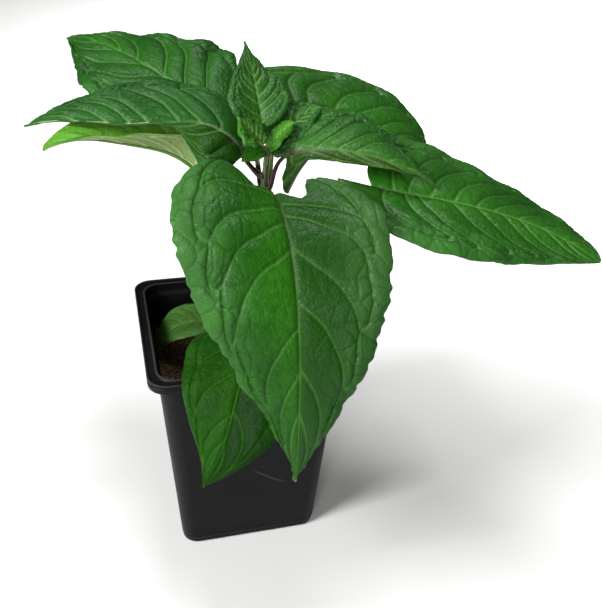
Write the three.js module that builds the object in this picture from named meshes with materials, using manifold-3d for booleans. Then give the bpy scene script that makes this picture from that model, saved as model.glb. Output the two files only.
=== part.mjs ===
// Potted chilli pepper plant: a square nursery pot, compost, a stem and its leaves.
// Millimetres, +Z up. The origin is the middle of the pot's flat underside, on the surface it stands on.
import * as THREE from "three";
import { mergeVertices } from "three/addons/utils/BufferGeometryUtils.js";
import Module from "manifold-3d";

const wasm = await Module();
wasm.setup();

// Pot: a moulded square pot that tapers to its base and has a turned-out rim.
const POT = {
  height: 107,
  rimWidth: 90,
  skirtHeight: 4.4,
  bodyTopWidth: 80.3,
  baseWidth: 65.6,
  wall: 1.1,
  floor: 1.6,
  ledgeDepth: 6, // the step that a stacked pot stands on, below the rim
  cornerRadius: 8.5,
  cornerTightening: 0.12, // the corners get tighter by this share of the taper
  footRound: 1.4,
  rimRound: 1.2,
  skirtThickness: 1.3,
  flangeThickness: 1.5,
  bead: 0.9, // width of the raised inner edge of the rim
  drainRadius: 3.2,
  drainInset: 11, // from the base's edge to the middle of a drain hole
};

// Compost: fills the pot up to a crumbly top, well below the rim.
const COMPOST = { top: 85, gap: 0.35, relief: 1.6, rings: 11, seed: 7 };

// Stem: points of its middle line and its radius at the same points, root stub first.
const STEM = {
  points: [
    [5, 0, 62], [5.5, -0.5, 86], [8, -2, 125], [10.2, -3, 160], [11.4, -3.1, 178], [12.4, -3.4, 194],
  ],
  radii: [2.2, 3.1, 2.5, 1.9, 1.45, 0.9],
  sides: 10,
  steps: 26,
  holeGap: 0.35,
};

const PETIOLE = {
  seatGap: 0.35, // from its end to the stem's skin
  sides: 7,
  stepLength: 5,
  steps: [4, 12], // fewest and most
  startPull: 0.35, // how strongly it keeps its first and its last direction, as a share of its span
  endPull: 0.3,
  tipShare: 0.75, // how much of its last radius is left where it ends under the midrib
  sunk: 0.5, // how far below the blade's middle it ends, in radii
};
const BLADE_THICKNESS = 0.7;
const TIP_HALF_WIDTH = 0.45;
const LOBE_SPAN = 1.35; // the lobe reaches furthest back at this share of a half turn across the half blade
const TIP_POWER = 1.7;

// Leaves. A blade is laid along its midrib, which starts at `base` and is `length` long. Its compass
// `heading` and its `climb` above the horizontal change along it, in degrees. Pairs are for the left and
// the right half, seen from the base: greatest half width, where along the midrib that is, the share of
// it at the base, and how fast the half narrows to the tip. `leftTilt` and `rightTilt` say how far each
// half rises above the level, and `curl` how much more it bends by its margin. `lobe` is how far the
// base reaches back beside the petiole. `wave` is the height and number of the waves of the margin.
// `petiole` gives the height on the stem that it grows from, how steeply it starts, and its two radii.
const LEAVES = {
  leaf_front: {
    base: [9, -32, 183], length: 128, heading: [-84, -93, -90], climb: [-13, -73, -96],
    halfWidth: [38, 44], widestAt: [0.19, 0.15], baseShare: [0.6, 0.6], taper: [1.3, 1.55],
    leftTilt: [8, 0], rightTilt: [28, -15], curl: [4, -28], lobe: [-3, 18], wave: [1.2, 5],
    petiole: { height: 163, rise: 25, radii: [1.5, 1.1] },
  },
  leaf_low_front: {
    base: [2, -24, 122], length: 80, heading: [-95, -118, -127, -164], climb: [10, -32, -55, -51],
    halfWidth: [28.5, 26], widestAt: [0.39, 0.35], baseShare: [0.5, 0.44], taper: [1.2, 1],
    leftTilt: [3, 0], rightTilt: [-7, 20], curl: [-11, -5], lobe: [5, 2], wave: [0.6, 4],
    petiole: { height: 106, rise: 40, radii: [1.2, 1.0] },
  },
  leaf_low_left: {
    base: [-11, 3.5, 105], length: 34, heading: [168, 167, 183], climb: [5, -28, -72],
    halfWidth: [10, 13], widestAt: [0.42, 0.46], baseShare: [0.3, 0.3], taper: [0.9, 0.9],
    leftTilt: [-7, 9], rightTilt: [17, 19], curl: [-20, -4], lobe: [0, 0], wave: [0.3, 2],
    petiole: { height: 95, rise: 35, radii: [0.9, 0.8] },
  },
  leaf_left: {
    base: [2.3, 0.6, 188.4], length: 96, heading: [172, 171, 158, 153], climb: [60, -3, 0, -19],
    halfWidth: [22, 26], widestAt: [0.14, 0.45], baseShare: [0.5, 0.58], taper: [24, 1.55],
    leftTilt: [-25, -50, -165, -175, -170], rightTilt: [5, 33, 36], curl: [-15, -14], lobe: [0, 11],
    wave: [0.8, 5],
    petiole: { height: 179, rise: 35, radii: [1.2, 1.0] },
  },
  leaf_left_back: {
    base: [7, 42.5, 189.5], length: 96.5, heading: [170, 134, 148], climb: [24, 17, -4],
    halfWidth: [34, 39], widestAt: [0.45, 0.32], baseShare: [0.25, 0.55], taper: [0.95, 1.1],
    leftTilt: [-1, -15], rightTilt: [29, 2], curl: [-13, -11], lobe: [2, 0], wave: [1.4, 5],
    petiole: { height: 171, rise: 40, radii: [1.3, 1.0] },
  },
  leaf_left_under: {
    base: [-13, 14, 173.5], length: 70, heading: [170, 182, 190], climb: [58, 16, 10, -25],
    halfWidth: [17.5, 15.5], widestAt: [0.15, 0.5], baseShare: [0.1, 0.1], taper: [1.4, 0.7],
    leftTilt: [56, 8], rightTilt: [70, 16], curl: [4, -13], lobe: [0, 0], wave: [0.5, 4],
    petiole: { height: 155, rise: 50, radii: [1.2, 1.0] },
  },
  leaf_centre: {
    base: [9.7, -3.8, 199.8], length: 35, heading: [94, 104, 110], climb: [63, 59, 64],
    halfWidth: [13, 13.4], widestAt: [0.34, 0.38], baseShare: [0.3, 0.3], taper: [1.75, 1.6],
    leftTilt: [14, 2], rightTilt: [50, -40], curl: [-10, -15], lobe: [0, 0], wave: [0.5, 4],
    petiole: { height: 191, rise: 60, radii: [0.8, 0.7] },
  },
  leaf_right_back: {
    base: [36.2, 17.4, 201.5], length: 68, heading: [18, -17, -2], climb: [-10, -23, -66],
    halfWidth: [28, 25], widestAt: [0.39, 0.35], baseShare: [0.84, 0.8], taper: [0.6, 0.8],
    leftTilt: [29, 20], rightTilt: [-20, -20], curl: [-11, -10], lobe: [17, 8], wave: [1.0, 5],
    petiole: { height: 158, rise: 60, radii: [1.1, 0.9] },
  },
  leaf_right_young: {
    base: [17.1, -13.4, 193], length: 67, heading: [-31, -20, -4], climb: [18, -10, -38],
    halfWidth: [27, 5], widestAt: [0.44, 0.4], baseShare: [0.3, 0.4], taper: [2, 2],
    leftTilt: [38, 0], rightTilt: [-105, -60], curl: [-18, -10], lobe: [-8, 0], wave: [0.5, 5],
    petiole: { height: 174, rise: 55, radii: [1.1, 0.9] },
  },
  leaf_right: {
    base: [51, -26, 180.2], length: 101, heading: [-20, -14, -48], climb: [-6, -14, -25],
    halfWidth: [35, 29], widestAt: [0.29, 0.32], baseShare: [0.5, 0.33], taper: [0.6, 0.85],
    leftTilt: [38, -8], rightTilt: [-10, -34], curl: [-13, -11], lobe: [3, 0], wave: [1.2, 6],
    petiole: { height: 147, rise: 45, radii: [1.5, 1.1] },
  },
  leaf_tip_left: {
    base: [7.5, -13.7, 195.7], length: 14, heading: [186, 165, 172], climb: [40, 47, 52],
    halfWidth: [9.5, 8], widestAt: [0.43, 0.4], baseShare: [0.3, 0.3], taper: [0.9, 0.95],
    leftTilt: [2, -10], rightTilt: [33, 10], curl: [-19, -7], lobe: [-5, 0], wave: [0.4, 3],
    petiole: { height: 189, rise: 40, radii: [0.7, 0.6] },
  },
  leaf_tip_under: {
    base: [8, -9.6, 190.4], length: 9, heading: [198, 200, 202], climb: [16, -15, -33],
    halfWidth: [5, 4], widestAt: [0.4, 0.4], baseShare: [0.3, 0.3], taper: [0.9, 1],
    leftTilt: [12, -7], rightTilt: [29, 9], curl: [-11, -8], lobe: [0, 2], wave: [0.2, 2],
    petiole: { height: 185, rise: 20, radii: [0.7, 0.6] },
  },
  leaf_tip_bright: {
    base: [13.5, -9, 194.5], length: 12, heading: [-17, -27, -25], climb: [53, 56, 42],
    halfWidth: [7, 6], widestAt: [0.49, 0.5], baseShare: [0.3, 0.3], taper: [0.9, 0.7],
    leftTilt: [40, 17], rightTilt: [6, -20], curl: [-5, -15], lobe: [0, 0], wave: [0.2, 2],
    petiole: { height: 188, rise: 30, radii: [0.7, 0.6] },
  },
  leaf_tip_right: {
    base: [15.6, -1, 193.6], length: 25, heading: [1, 4, 0], climb: [61, 36, 16],
    halfWidth: [7.6, 8.5], widestAt: [0.41, 0.4], baseShare: [0.3, 0.3], taper: [1.1, 0.9],
    leftTilt: [43, 23], rightTilt: [-8, -6], curl: [-12, -12], lobe: [0, -3], wave: [0.5, 4],
    petiole: { height: 190, rise: 40, radii: [0.8, 0.7] },
  },
};

const LARGE_BLADE = { rows: 20, columns: 4 };
const SMALL_BLADE = { rows: 11, columns: 3 };
const SMALL_LENGTH = 40;

const MATERIALS = {
  plastic: new THREE.MeshStandardMaterial({ color: "#232426", roughness: 0.42, metalness: 0 }),
  compost: new THREE.MeshStandardMaterial({ color: "#2c1f18", roughness: 0.95, metalness: 0 }),
  stem: new THREE.MeshStandardMaterial({ color: "#4a5a34", roughness: 0.5, metalness: 0 }),
  leaf: new THREE.MeshStandardMaterial({ color: "#2f6d2a", roughness: 0.45, metalness: 0 }),
  youngLeaf: new THREE.MeshStandardMaterial({ color: "#4c9430", roughness: 0.42, metalness: 0 }),
};

// A small seeded random generator, the same on each run.
function seededRandom(seed) {
  let state = seed >>> 0;
  return () => {
    state = (state + 0x6d2b79f5) >>> 0;
    let t = state;
    t = Math.imul(t ^ (t >>> 15), t | 1);
    t ^= t + Math.imul(t ^ (t >>> 7), t | 61);
    return ((t ^ (t >>> 14)) >>> 0) / 4294967296;
  };
}

const radians = THREE.MathUtils.degToRad;

// Geometry from a list of points and a list of triangles.
function geometryOf(points, triangles) {
  const geometry = new THREE.BufferGeometry();
  geometry.setAttribute("position", new THREE.Float32BufferAttribute(points.flatMap((p) => p.toArray()), 3));
  geometry.setIndex(triangles);
  return geometry;
}

// The solid that manifold-3d cuts and joins, and the way back.
function solidOf(geometry) {
  const bare = geometry.clone();
  bare.deleteAttribute("normal");
  bare.deleteAttribute("uv");
  const merged = mergeVertices(bare, 1e-4);
  return new wasm.Manifold(new wasm.Mesh({
    numProp: 3,
    vertProperties: merged.attributes.position.array,
    triVerts: new Uint32Array(merged.index.array),
  }));
}

function geometryFrom(solid) {
  const mesh = solid.getMesh();
  const geometry = new THREE.BufferGeometry();
  geometry.setAttribute("position", new THREE.BufferAttribute(new Float32Array(mesh.vertProperties), 3));
  geometry.setIndex(new THREE.BufferAttribute(new Uint32Array(mesh.triVerts), 1));
  return geometry;
}

// A value along a leaf: a straight change between two values, a parabola through three, and a smooth
// curve through four.
function along(values, t) {
  const [a, b, c] = values;
  if (values.length === 2) return a + (b - a) * t;
  if (values.length === 3) {
    return a + (4 * b - 3 * a - c) * t + 2 * (a - 2 * b + c) * t * t;
  }
  const last = values.length - 1;
  const i = Math.min(Math.floor(t * last), last - 1);
  const f = t * last - i;
  const before = i > 0 ? values[i - 1] : 2 * values[0] - values[1];
  const after = i + 2 <= last ? values[i + 2] : 2 * values[last] - values[last - 1];
  const [p, q] = [values[i], values[i + 1]];
  const inner = 2 * before - 5 * p + 4 * q - after + f * (3 * (p - q) + after - before);
  return p + 0.5 * f * (q - before + f * inner);
}

// Half width of a blade as a share of its greatest: a quarter ellipse up to the widest place, then a
// curve that runs out to a drawn-out tip.
function widthShare(t, baseShare, widestAt, taper) {
  if (t < widestAt) {
    return Math.sqrt(1 - (1 - baseShare ** 2) * (1 - t / widestAt) ** 2);
  }
  const s = (t - widestAt) / (1 - widestAt);
  return Math.max(1 - s ** TIP_POWER, 0) ** taper;
}

// The midrib: at each step its place, its direction, the level direction to its right, and up.
function midrib(leaf, steps) {
  const frames = [];
  const place = new THREE.Vector3(...leaf.base);
  let previous = null;
  for (let i = 0; i <= steps; i++) {
    const t = i / steps;
    const heading = radians(along(leaf.heading, t));
    const climb = radians(along(leaf.climb, t));
    const level = new THREE.Vector3(Math.cos(heading), Math.sin(heading), 0);
    const ahead = level.clone().multiplyScalar(Math.cos(climb));
    ahead.z = Math.sin(climb);
    const right = new THREE.Vector3(level.y, -level.x, 0);
    const up = right.clone().cross(ahead);
    if (previous) {
      place.addScaledVector(previous.clone().add(ahead), leaf.length / steps / 2);
    }
    previous = ahead;
    frames.push({ t, place: place.clone(), ahead, right, up });
  }
  return frames;
}

// A point of the blade: `across` runs from -1 at the left margin to 1 at the right one. Each half is
// an arc that starts at its tilt and turns by its curl, and its margin waves.
function bladePoint(leaf, frame, across) {
  const side = across < 0 ? 0 : 1;
  const sign = across < 0 ? -1 : 1;
  const reach = Math.abs(across);
  const { t } = frame;
  const share = widthShare(t, leaf.baseShare[side], leaf.widestAt[side], leaf.taper[side]);
  const halfWidth = Math.max(leaf.halfWidth[side] * share, TIP_HALF_WIDTH);
  const tilt = radians(along(side ? leaf.rightTilt : leaf.leftTilt, t));
  const curl = radians(leaf.curl[side] || 0.1);
  const out = (Math.sin(tilt + curl * reach) - Math.sin(tilt)) / curl;
  const rise = (Math.cos(tilt) - Math.cos(tilt + curl * reach)) / curl;
  const back = leaf.lobe[side] * (1 - t) ** 3 * Math.sin((Math.PI * reach) / LOBE_SPAN);
  const [waveHeight, waves] = leaf.wave;
  const fade = Math.min(1, (1 - t) * 4) * reach ** 2;
  const ripple = waveHeight * fade * Math.sin(2 * Math.PI * waves * t + (side ? 0.9 : 2.6));
  return frame.place.clone()
    .addScaledVector(frame.right, sign * halfWidth * out - sign * ripple * Math.sin(tilt + curl * reach))
    .addScaledVector(frame.up, halfWidth * rise + ripple * Math.cos(tilt + curl * reach))
    .addScaledVector(frame.ahead, -back);
}

// A closed sheet: the grid of points, moved half the thickness to each side along the surface's own
// direction, with the same triangles on both faces and a strip round the margin.
function sheet(grid, thickness) {
  const rows = grid.length;
  const columns = grid[0].length;
  const normalAt = (i, j) => {
    const down = grid[Math.min(i + 1, rows - 1)][j].clone().sub(grid[Math.max(i - 1, 0)][j]);
    const aside = grid[i][Math.min(j + 1, columns - 1)].clone().sub(grid[i][Math.max(j - 1, 0)]);
    return aside.cross(down).normalize();
  };
  const points = [];
  for (const sign of [1, -1]) {
    grid.forEach((row, i) => row.forEach((p, j) => {
      points.push(p.clone().addScaledVector(normalAt(i, j), (sign * thickness) / 2));
    }));
  }
  const index = (i, j, under) => (under ? rows * columns : 0) + i * columns + j;
  const triangles = [];
  const quad = (a, b, c, d) => triangles.push(a, b, c, a, c, d);
  for (let i = 0; i < rows - 1; i++) {
    for (let j = 0; j < columns - 1; j++) {
      const corners = (under) => [
        index(i, j, under), index(i, j + 1, under), index(i + 1, j + 1, under), index(i + 1, j, under),
      ];
      const [a, b, c, d] = corners(false);
      quad(a, b, c, d);
      const [e, f, g, h] = corners(true);
      triangles.push(e, g, f, e, h, g);
    }
  }
  for (let i = 0; i < rows - 1; i++) {
    quad(index(i, 0, true), index(i, 0, false), index(i + 1, 0, false), index(i + 1, 0, true));
    const j = columns - 1;
    quad(index(i, j, false), index(i, j, true), index(i + 1, j, true), index(i + 1, j, false));
  }
  for (let j = 0; j < columns - 1; j++) {
    quad(index(0, j, true), index(0, j + 1, true), index(0, j + 1, false), index(0, j, false));
    const i = rows - 1;
    quad(index(i, j, false), index(i, j + 1, false), index(i, j + 1, true), index(i, j, true));
  }
  return geometryOf(points, triangles);
}

function blade(leaf) {
  const { rows, columns } = leaf.length > SMALL_LENGTH ? LARGE_BLADE : SMALL_BLADE;
  const frames = midrib(leaf, rows * 4).filter((_, i) => i % 4 === 0);
  const grid = frames.map((frame) => {
    const row = [];
    for (let j = -columns; j <= columns; j++) row.push(bladePoint(leaf, frame, j / columns));
    return row;
  });
  return sheet(grid, BLADE_THICKNESS);
}

// A round rod that follows a curve and changes its radius smoothly, with flat ends.
function rod(curve, radiusAt, sides, steps) {
  const frames = curve.computeFrenetFrames(steps, false);
  const points = [];
  const triangles = [];
  for (let i = 0; i <= steps; i++) {
    const centre = curve.getPointAt(i / steps);
    for (let k = 0; k < sides; k++) {
      const angle = (2 * Math.PI * k) / sides;
      points.push(centre.clone()
        .addScaledVector(frames.normals[i], Math.cos(angle) * radiusAt(i / steps))
        .addScaledVector(frames.binormals[i], Math.sin(angle) * radiusAt(i / steps)));
    }
  }
  for (let i = 0; i < steps; i++) {
    for (let k = 0; k < sides; k++) {
      const [a, b] = [i * sides + k, i * sides + ((k + 1) % sides)];
      triangles.push(a, b, b + sides, a, b + sides, a + sides);
    }
  }
  const last = steps * sides;
  for (let k = 1; k < sides - 1; k++) {
    triangles.push(0, k + 1, k);
    triangles.push(last, last + k, last + k + 1);
  }
  return geometryOf(points, triangles);
}

const stemCurve = new THREE.CatmullRomCurve3(
  STEM.points.map((p) => new THREE.Vector3(...p)), false, "centripetal",
);

function stemRadius(height) {
  const heights = STEM.points.map((p) => p[2]);
  const i = Math.max(0, Math.min(heights.length - 2, heights.findIndex((z) => z > height) - 1));
  const f = THREE.MathUtils.clamp((height - heights[i]) / (heights[i + 1] - heights[i]), 0, 1);
  return THREE.MathUtils.lerp(STEM.radii[i], STEM.radii[i + 1], f);
}

function stemPlace(height) {
  let [low, high] = [0, 1];
  for (let i = 0; i < 40; i++) {
    const middle = (low + high) / 2;
    if (stemCurve.getPointAt(middle).z < height) low = middle;
    else high = middle;
  }
  return stemCurve.getPointAt(low);
}

// A petiole grows from the stem's skin, turns towards the blade and runs on a little under its midrib.
function petiole(leaf) {
  const { height, rise, radii } = leaf.petiole;
  const root = stemPlace(height);
  const base = new THREE.Vector3(...leaf.base);
  const level = base.clone().sub(root).setZ(0).normalize();
  const start = level.clone().multiplyScalar(Math.cos(radians(rise)));
  start.z = Math.sin(radians(rise));
  root.addScaledVector(level, stemRadius(height) + PETIOLE.seatGap + radii[0] * start.z);
  const span = base.distanceTo(root);
  const [first, , inside] = midrib(leaf, 20);
  const curve = new THREE.CubicBezierCurve3(
    root,
    root.clone().addScaledVector(start, span * PETIOLE.startPull),
    base.clone().addScaledVector(first.ahead, -span * PETIOLE.endPull),
    inside.place.clone().addScaledVector(inside.up, -radii[1] * PETIOLE.sunk),
  );
  const steps = THREE.MathUtils.clamp(Math.round(span / PETIOLE.stepLength), ...PETIOLE.steps);
  const radiusAt = (t) => THREE.MathUtils.lerp(radii[0], radii[1] * PETIOLE.tipShare, t);
  return rod(curve, radiusAt, PETIOLE.sides, steps);
}

function leafGeometry(leaf) {
  return geometryFrom(solidOf(blade(leaf)).add(solidOf(petiole(leaf))));
}

// A ring of a rounded square: half its width, its corner radius and its height, with points per corner.
function squareRing(half, radius, z, perCorner = 5) {
  const points = [];
  const corner = Math.min(radius, half);
  for (let side = 0; side < 4; side++) {
    const diagonal = (side + 0.5) * (Math.PI / 2);
    const middleX = Math.sign(Math.cos(diagonal)) * (half - corner);
    const middleY = Math.sign(Math.sin(diagonal)) * (half - corner);
    for (let k = 0; k <= perCorner; k++) {
      const angle = (side + k / perCorner) * (Math.PI / 2);
      points.push(new THREE.Vector3(
        middleX + corner * Math.cos(angle),
        middleY + corner * Math.sin(angle),
        z,
      ));
    }
  }
  return points;
}

// A solid from rings of equally many points, from the middle of its underside to the middle of its top.
function ringSolid(rings, bottomCentre, topCentre) {
  const count = rings[0].length;
  const points = [...rings.flat(), bottomCentre, topCentre];
  const triangles = [];
  for (let i = 0; i < rings.length - 1; i++) {
    for (let k = 0; k < count; k++) {
      const [a, b] = [i * count + k, i * count + ((k + 1) % count)];
      triangles.push(a, b, b + count, a, b + count, a + count);
    }
  }
  const [low, high] = [rings.length * count, rings.length * count + 1];
  const last = (rings.length - 1) * count;
  for (let k = 0; k < count; k++) {
    const next = (k + 1) % count;
    triangles.push(low, next, k);
    triangles.push(high, last + k, last + next);
  }
  return geometryOf(points, triangles);
}

const bodyHalf = (z) => THREE.MathUtils.mapLinear(
  z, 0, POT.height - POT.ledgeDepth, POT.baseWidth / 2, POT.bodyTopWidth / 2,
);

function potGeometry() {
  const { height, wall, floor, footRound, rimRound, bead } = POT;
  const rim = POT.rimWidth / 2;
  const ledge = height - POT.ledgeDepth;
  const bodyTop = POT.bodyTopWidth / 2;
  const skirtBottom = height - POT.skirtHeight;
  const underFlange = height - POT.flangeThickness;
  const insideFloor = floor + 2;
  // Each step is half the width there and the height, up the outside, over the rim and down the inside.
  const section = [
    [bodyHalf(0) - footRound, 0],
    [bodyHalf(0) - footRound * 0.3, footRound * 0.3],
    [bodyHalf(footRound), footRound],
    [bodyTop, ledge],
    [bodyTop + wall, ledge + wall],
    [bodyTop + wall, underFlange],
    [rim - POT.skirtThickness + 0.1, underFlange],
    [rim - POT.skirtThickness, skirtBottom],
    [rim - 0.3, skirtBottom],
    [rim, height - rimRound],
    [rim - rimRound * 0.3, height - rimRound * 0.3],
    [rim - rimRound, height],
    [bodyTop + bead, height - 0.1],
    [bodyTop + bead * 0.2, height - 0.5],
    [bodyTop, height - 1.3],
    [bodyTop - 0.1, ledge + wall + 0.3],
    [bodyTop - wall, ledge],
    [bodyHalf(insideFloor) - wall, insideFloor],
    [bodyHalf(floor) - wall - 2, floor],
  ];
  const rings = section.map(([half, z]) => {
    return squareRing(half, POT.cornerRadius - (rim - half) * POT.cornerTightening, z);
  });
  const body = ringSolid(rings, new THREE.Vector3(0, 0, 0), new THREE.Vector3(0, 0, floor));
  let pot = solidOf(body);
  const drain = new THREE.CylinderGeometry(POT.drainRadius, POT.drainRadius, floor * 4, 12);
  drain.rotateX(Math.PI / 2);
  const out = POT.baseWidth / 2 - POT.drainInset;
  for (const [x, y] of [[1, 1], [-1, 1], [-1, -1], [1, -1]]) {
    pot = pot.subtract(solidOf(drain.clone().translate(x * out, y * out, 0)));
  }
  return geometryFrom(pot);
}

const stemRadiusAlong = (t) => stemRadius(stemCurve.getPointAt(t).z);

// The compost's sides follow the pot's inside, and its top is raised and lowered at random in clods.
function compostGeometry() {
  const random = seededRandom(COMPOST.seed);
  const { top, gap, relief } = COMPOST;
  const inside = (z) => bodyHalf(z) - POT.wall - gap;
  const floor = POT.floor + gap;
  const corner = POT.cornerRadius - 1.5;
  const edge = top - 1;
  const rings = [
    squareRing(inside(floor) - 2, corner, floor),
    squareRing(inside(floor + 2), corner, floor + 2),
    squareRing(inside(edge), corner, edge),
  ];
  for (let i = 1; i < COMPOST.rings; i++) {
    const share = 1 - i / COMPOST.rings;
    const ring = squareRing(inside(edge) * share, corner * share, top);
    ring.forEach((p) => {
      p.x += (random() - 0.5) * relief * share;
      p.y += (random() - 0.5) * relief * share;
      p.z += (random() - 0.35) * relief;
    });
    rings.push(ring);
  }
  const block = ringSolid(rings, new THREE.Vector3(0, 0, floor), new THREE.Vector3(0, 0, top));
  const hole = rod(stemCurve, (t) => stemRadiusAlong(t) + STEM.holeGap, STEM.sides, STEM.steps);
  return geometryFrom(solidOf(block).subtract(solidOf(hole)));
}

const stemGeometry = () => rod(stemCurve, stemRadiusAlong, STEM.sides, STEM.steps);

const plant = new THREE.Group();

function addPiece(name, geometry, material) {
  const mesh = new THREE.Mesh(geometry, material);
  mesh.name = name;
  geometry.computeVertexNormals();
  plant.add(mesh);
}

addPiece("pot", potGeometry(), MATERIALS.plastic);
addPiece("compost", compostGeometry(), MATERIALS.compost);
addPiece("stem", stemGeometry(), MATERIALS.stem);
for (const [name, leaf] of Object.entries(LEAVES)) {
  addPiece(name, leafGeometry(leaf), leaf.length > SMALL_LENGTH ? MATERIALS.leaf : MATERIALS.youngLeaf);
}

export default plant;
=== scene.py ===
# %% [markdown]
# # A young chilli pepper plant in a nursery pot
#
# The real thing is a pot plant a few weeks old: a square black plastic pot, dark compost, one stem and
# fourteen leaves. The leaves make the picture, so most of this lesson is about them. Each is a thin
# sheet laid along a curved midrib, pushed up between its veins as a quilt is between its seams.
# Lengths are in millimetres here and turn into Blender's metres in one place, where a mesh is made.

import bpy
import numpy as np
from mathutils import Matrix


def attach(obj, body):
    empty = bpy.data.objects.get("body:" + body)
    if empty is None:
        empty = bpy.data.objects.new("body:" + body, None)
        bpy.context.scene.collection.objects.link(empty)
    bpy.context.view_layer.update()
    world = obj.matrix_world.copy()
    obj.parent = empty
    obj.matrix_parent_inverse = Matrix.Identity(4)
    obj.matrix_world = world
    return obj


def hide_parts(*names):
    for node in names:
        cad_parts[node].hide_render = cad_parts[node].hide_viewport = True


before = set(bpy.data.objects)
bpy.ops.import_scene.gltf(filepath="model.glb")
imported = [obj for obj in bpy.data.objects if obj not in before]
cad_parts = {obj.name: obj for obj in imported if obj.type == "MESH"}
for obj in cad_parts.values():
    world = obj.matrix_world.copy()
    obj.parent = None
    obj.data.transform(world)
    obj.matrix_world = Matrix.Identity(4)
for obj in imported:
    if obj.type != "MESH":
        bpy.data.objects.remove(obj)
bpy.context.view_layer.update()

MM = 0.001
print("nodes:", ", ".join(sorted(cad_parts)))

# %% [markdown]
# ## The camera
#
# The photograph was taken from above and a little to the left of the pot. A camera can be found by
# moving it until the pot's corners and rim lines fall on those in the picture. That gave where the lens
# stood, how it was turned, and how long its focal length is in pixels. Blender wants the focal length
# in millimetres for a sensor 36 mm along the longer side of the picture.

# %% Camera at the photograph's viewing angle
EYE = (-53.14, -304.4, 303.8)  # mm
YAW, PITCH, ROLL = 0.2670, 0.5458, 0.0416  # radians
FOCAL_PIXELS = 782.9
PICTURE = (602, 608)
SENSOR = 36.0  # mm

forward = np.array((np.sin(YAW) * np.cos(PITCH), np.cos(YAW) * np.cos(PITCH), -np.sin(PITCH)))
level = np.array((np.cos(YAW), -np.sin(YAW), 0.0))
upward = np.cross(level, forward)
placing = np.eye(4)
placing[:3, 0] = level * np.cos(ROLL) + upward * np.sin(ROLL)
placing[:3, 1] = upward * np.cos(ROLL) - level * np.sin(ROLL)
placing[:3, 2] = -forward
placing[:3, 3] = np.array(EYE) * MM

lens = bpy.data.cameras.new("photo_camera")
lens.sensor_width = SENSOR
lens.lens = FOCAL_PIXELS * SENSOR / max(PICTURE)
lens.clip_start, lens.clip_end = 0.01, 20.0
camera = bpy.data.objects.new("photo_camera", lens)
camera.matrix_world = Matrix(placing.tolist())
bpy.context.scene.collection.objects.link(camera)
bpy.context.scene.camera = camera
print(f"camera: {lens.lens:.2f} mm lens, {np.degrees(PITCH):.1f} degrees down")

# %% [markdown]
# ## Small tools for meshes
#
# Every piece here is a surface worked out as whole arrays: a grid of points, four-cornered faces
# between them, and a few numbers at each point that the materials read. One function turns such arrays
# into a Blender object, and one gives the faces of a grid.

# %% Faces of grids and of closed stacks of rings
def grid_faces(rows, columns, first=0, ring=False):
    """Faces of a grid of points kept row by row: point (i, j) is number first + i * columns + j. With
    ring, the last column also joins the first."""
    i = np.arange(rows - 1)[:, None]
    j = np.arange(columns if ring else columns - 1)[None, :]
    here = first + i * columns + j
    beside = first + i * columns + (j + 1) % columns
    return np.stack((here, beside, beside + columns, here + columns), -1).reshape(-1, 4)


def fan(ring_points, middle):
    """Triangles from each pair of neighbours on a ring of point numbers to a middle point."""
    return np.stack((ring_points, np.roll(ring_points, -1), np.full_like(ring_points, middle)), -1)


def closed_rings(rings, low, high, first=0):
    """Points, quads and triangles of a stack of rings, closed at each end round a middle point."""
    count, around = rings.shape[:2]
    end = first + count * around
    caps = np.vstack((fan(first + np.arange(around), end)[:, ::-1],
                      fan(end - around + np.arange(around), end + 1)))
    return np.vstack((rings.reshape(-1, 3), low, high)), grid_faces(count, around, first, ring=True), caps


print("a grid of 3 by 4 points has", len(grid_faces(3, 4)), "faces, and 4 columns in a ring",
      len(grid_faces(3, 4, ring=True)))


# %% A mesh object from arrays
def make_piece(name, points, quads, triangles=(), values=None, unfolded=None, flat=0):
    """A mesh object from points in millimetres. values are named numbers for each point, unfolded is
    each point's place on the flattened piece in metres, and the last `flat` quads aren't smoothed."""
    quads = np.asarray(quads, np.int32).reshape(-1, 4)
    triangles = np.asarray(triangles, np.int32).reshape(-1, 3)
    corners = np.concatenate((quads.ravel(), triangles.ravel()))
    sizes = np.concatenate((np.full(len(quads), 4), np.full(len(triangles), 3)))
    starts = np.concatenate(((0,), np.cumsum(sizes)[:-1]))
    mesh = bpy.data.meshes.new(name)
    mesh.vertices.add(len(points))
    mesh.vertices.foreach_set("co", (np.asarray(points) * MM).astype(np.float32).ravel())
    mesh.loops.add(len(corners))
    mesh.loops.foreach_set("vertex_index", corners)
    mesh.polygons.add(len(sizes))
    mesh.polygons.foreach_set("loop_start", starts.astype(np.int32))
    smooth = np.ones(len(sizes), bool)
    smooth[len(quads) - flat:len(quads)] = False
    mesh.polygons.foreach_set("use_smooth", smooth)
    mesh.update(calc_edges=True)
    for label, numbers in (values or {}).items():
        layer = mesh.attributes.new(label, "FLOAT", "POINT")
        layer.data.foreach_set("value", np.asarray(numbers, np.float32).ravel())
    if unfolded is not None:
        layer = mesh.uv_layers.new(name="unfolded")
        layer.data.foreach_set("uv", np.asarray(unfolded, np.float32)[corners].ravel())
    thing = bpy.data.objects.new(name, mesh)
    bpy.context.scene.collection.objects.link(thing)
    return thing


def finish_piece(thing, materials, node):
    """Gives the object its materials, lets it stand for its CAD node and ride with the part."""
    for material in materials:
        thing.data.materials.append(material)
    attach(thing, "root")
    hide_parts(node)


def triangle_count(thing):
    """How many triangles the object's faces make."""
    thing.data.calc_loop_triangles()
    return len(thing.data.loop_triangles)


print("one millimetre is", MM, "of Blender's units")

# %% [markdown]
# ## Small tools for materials
#
# A material is a tree of nodes. Building one by hand in code takes the same three steps each time: add
# a node, set its numbers, and link its inputs. One function does all three. Colours are written as on
# a web page and turned into the linear values that Blender reckons with.

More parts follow.
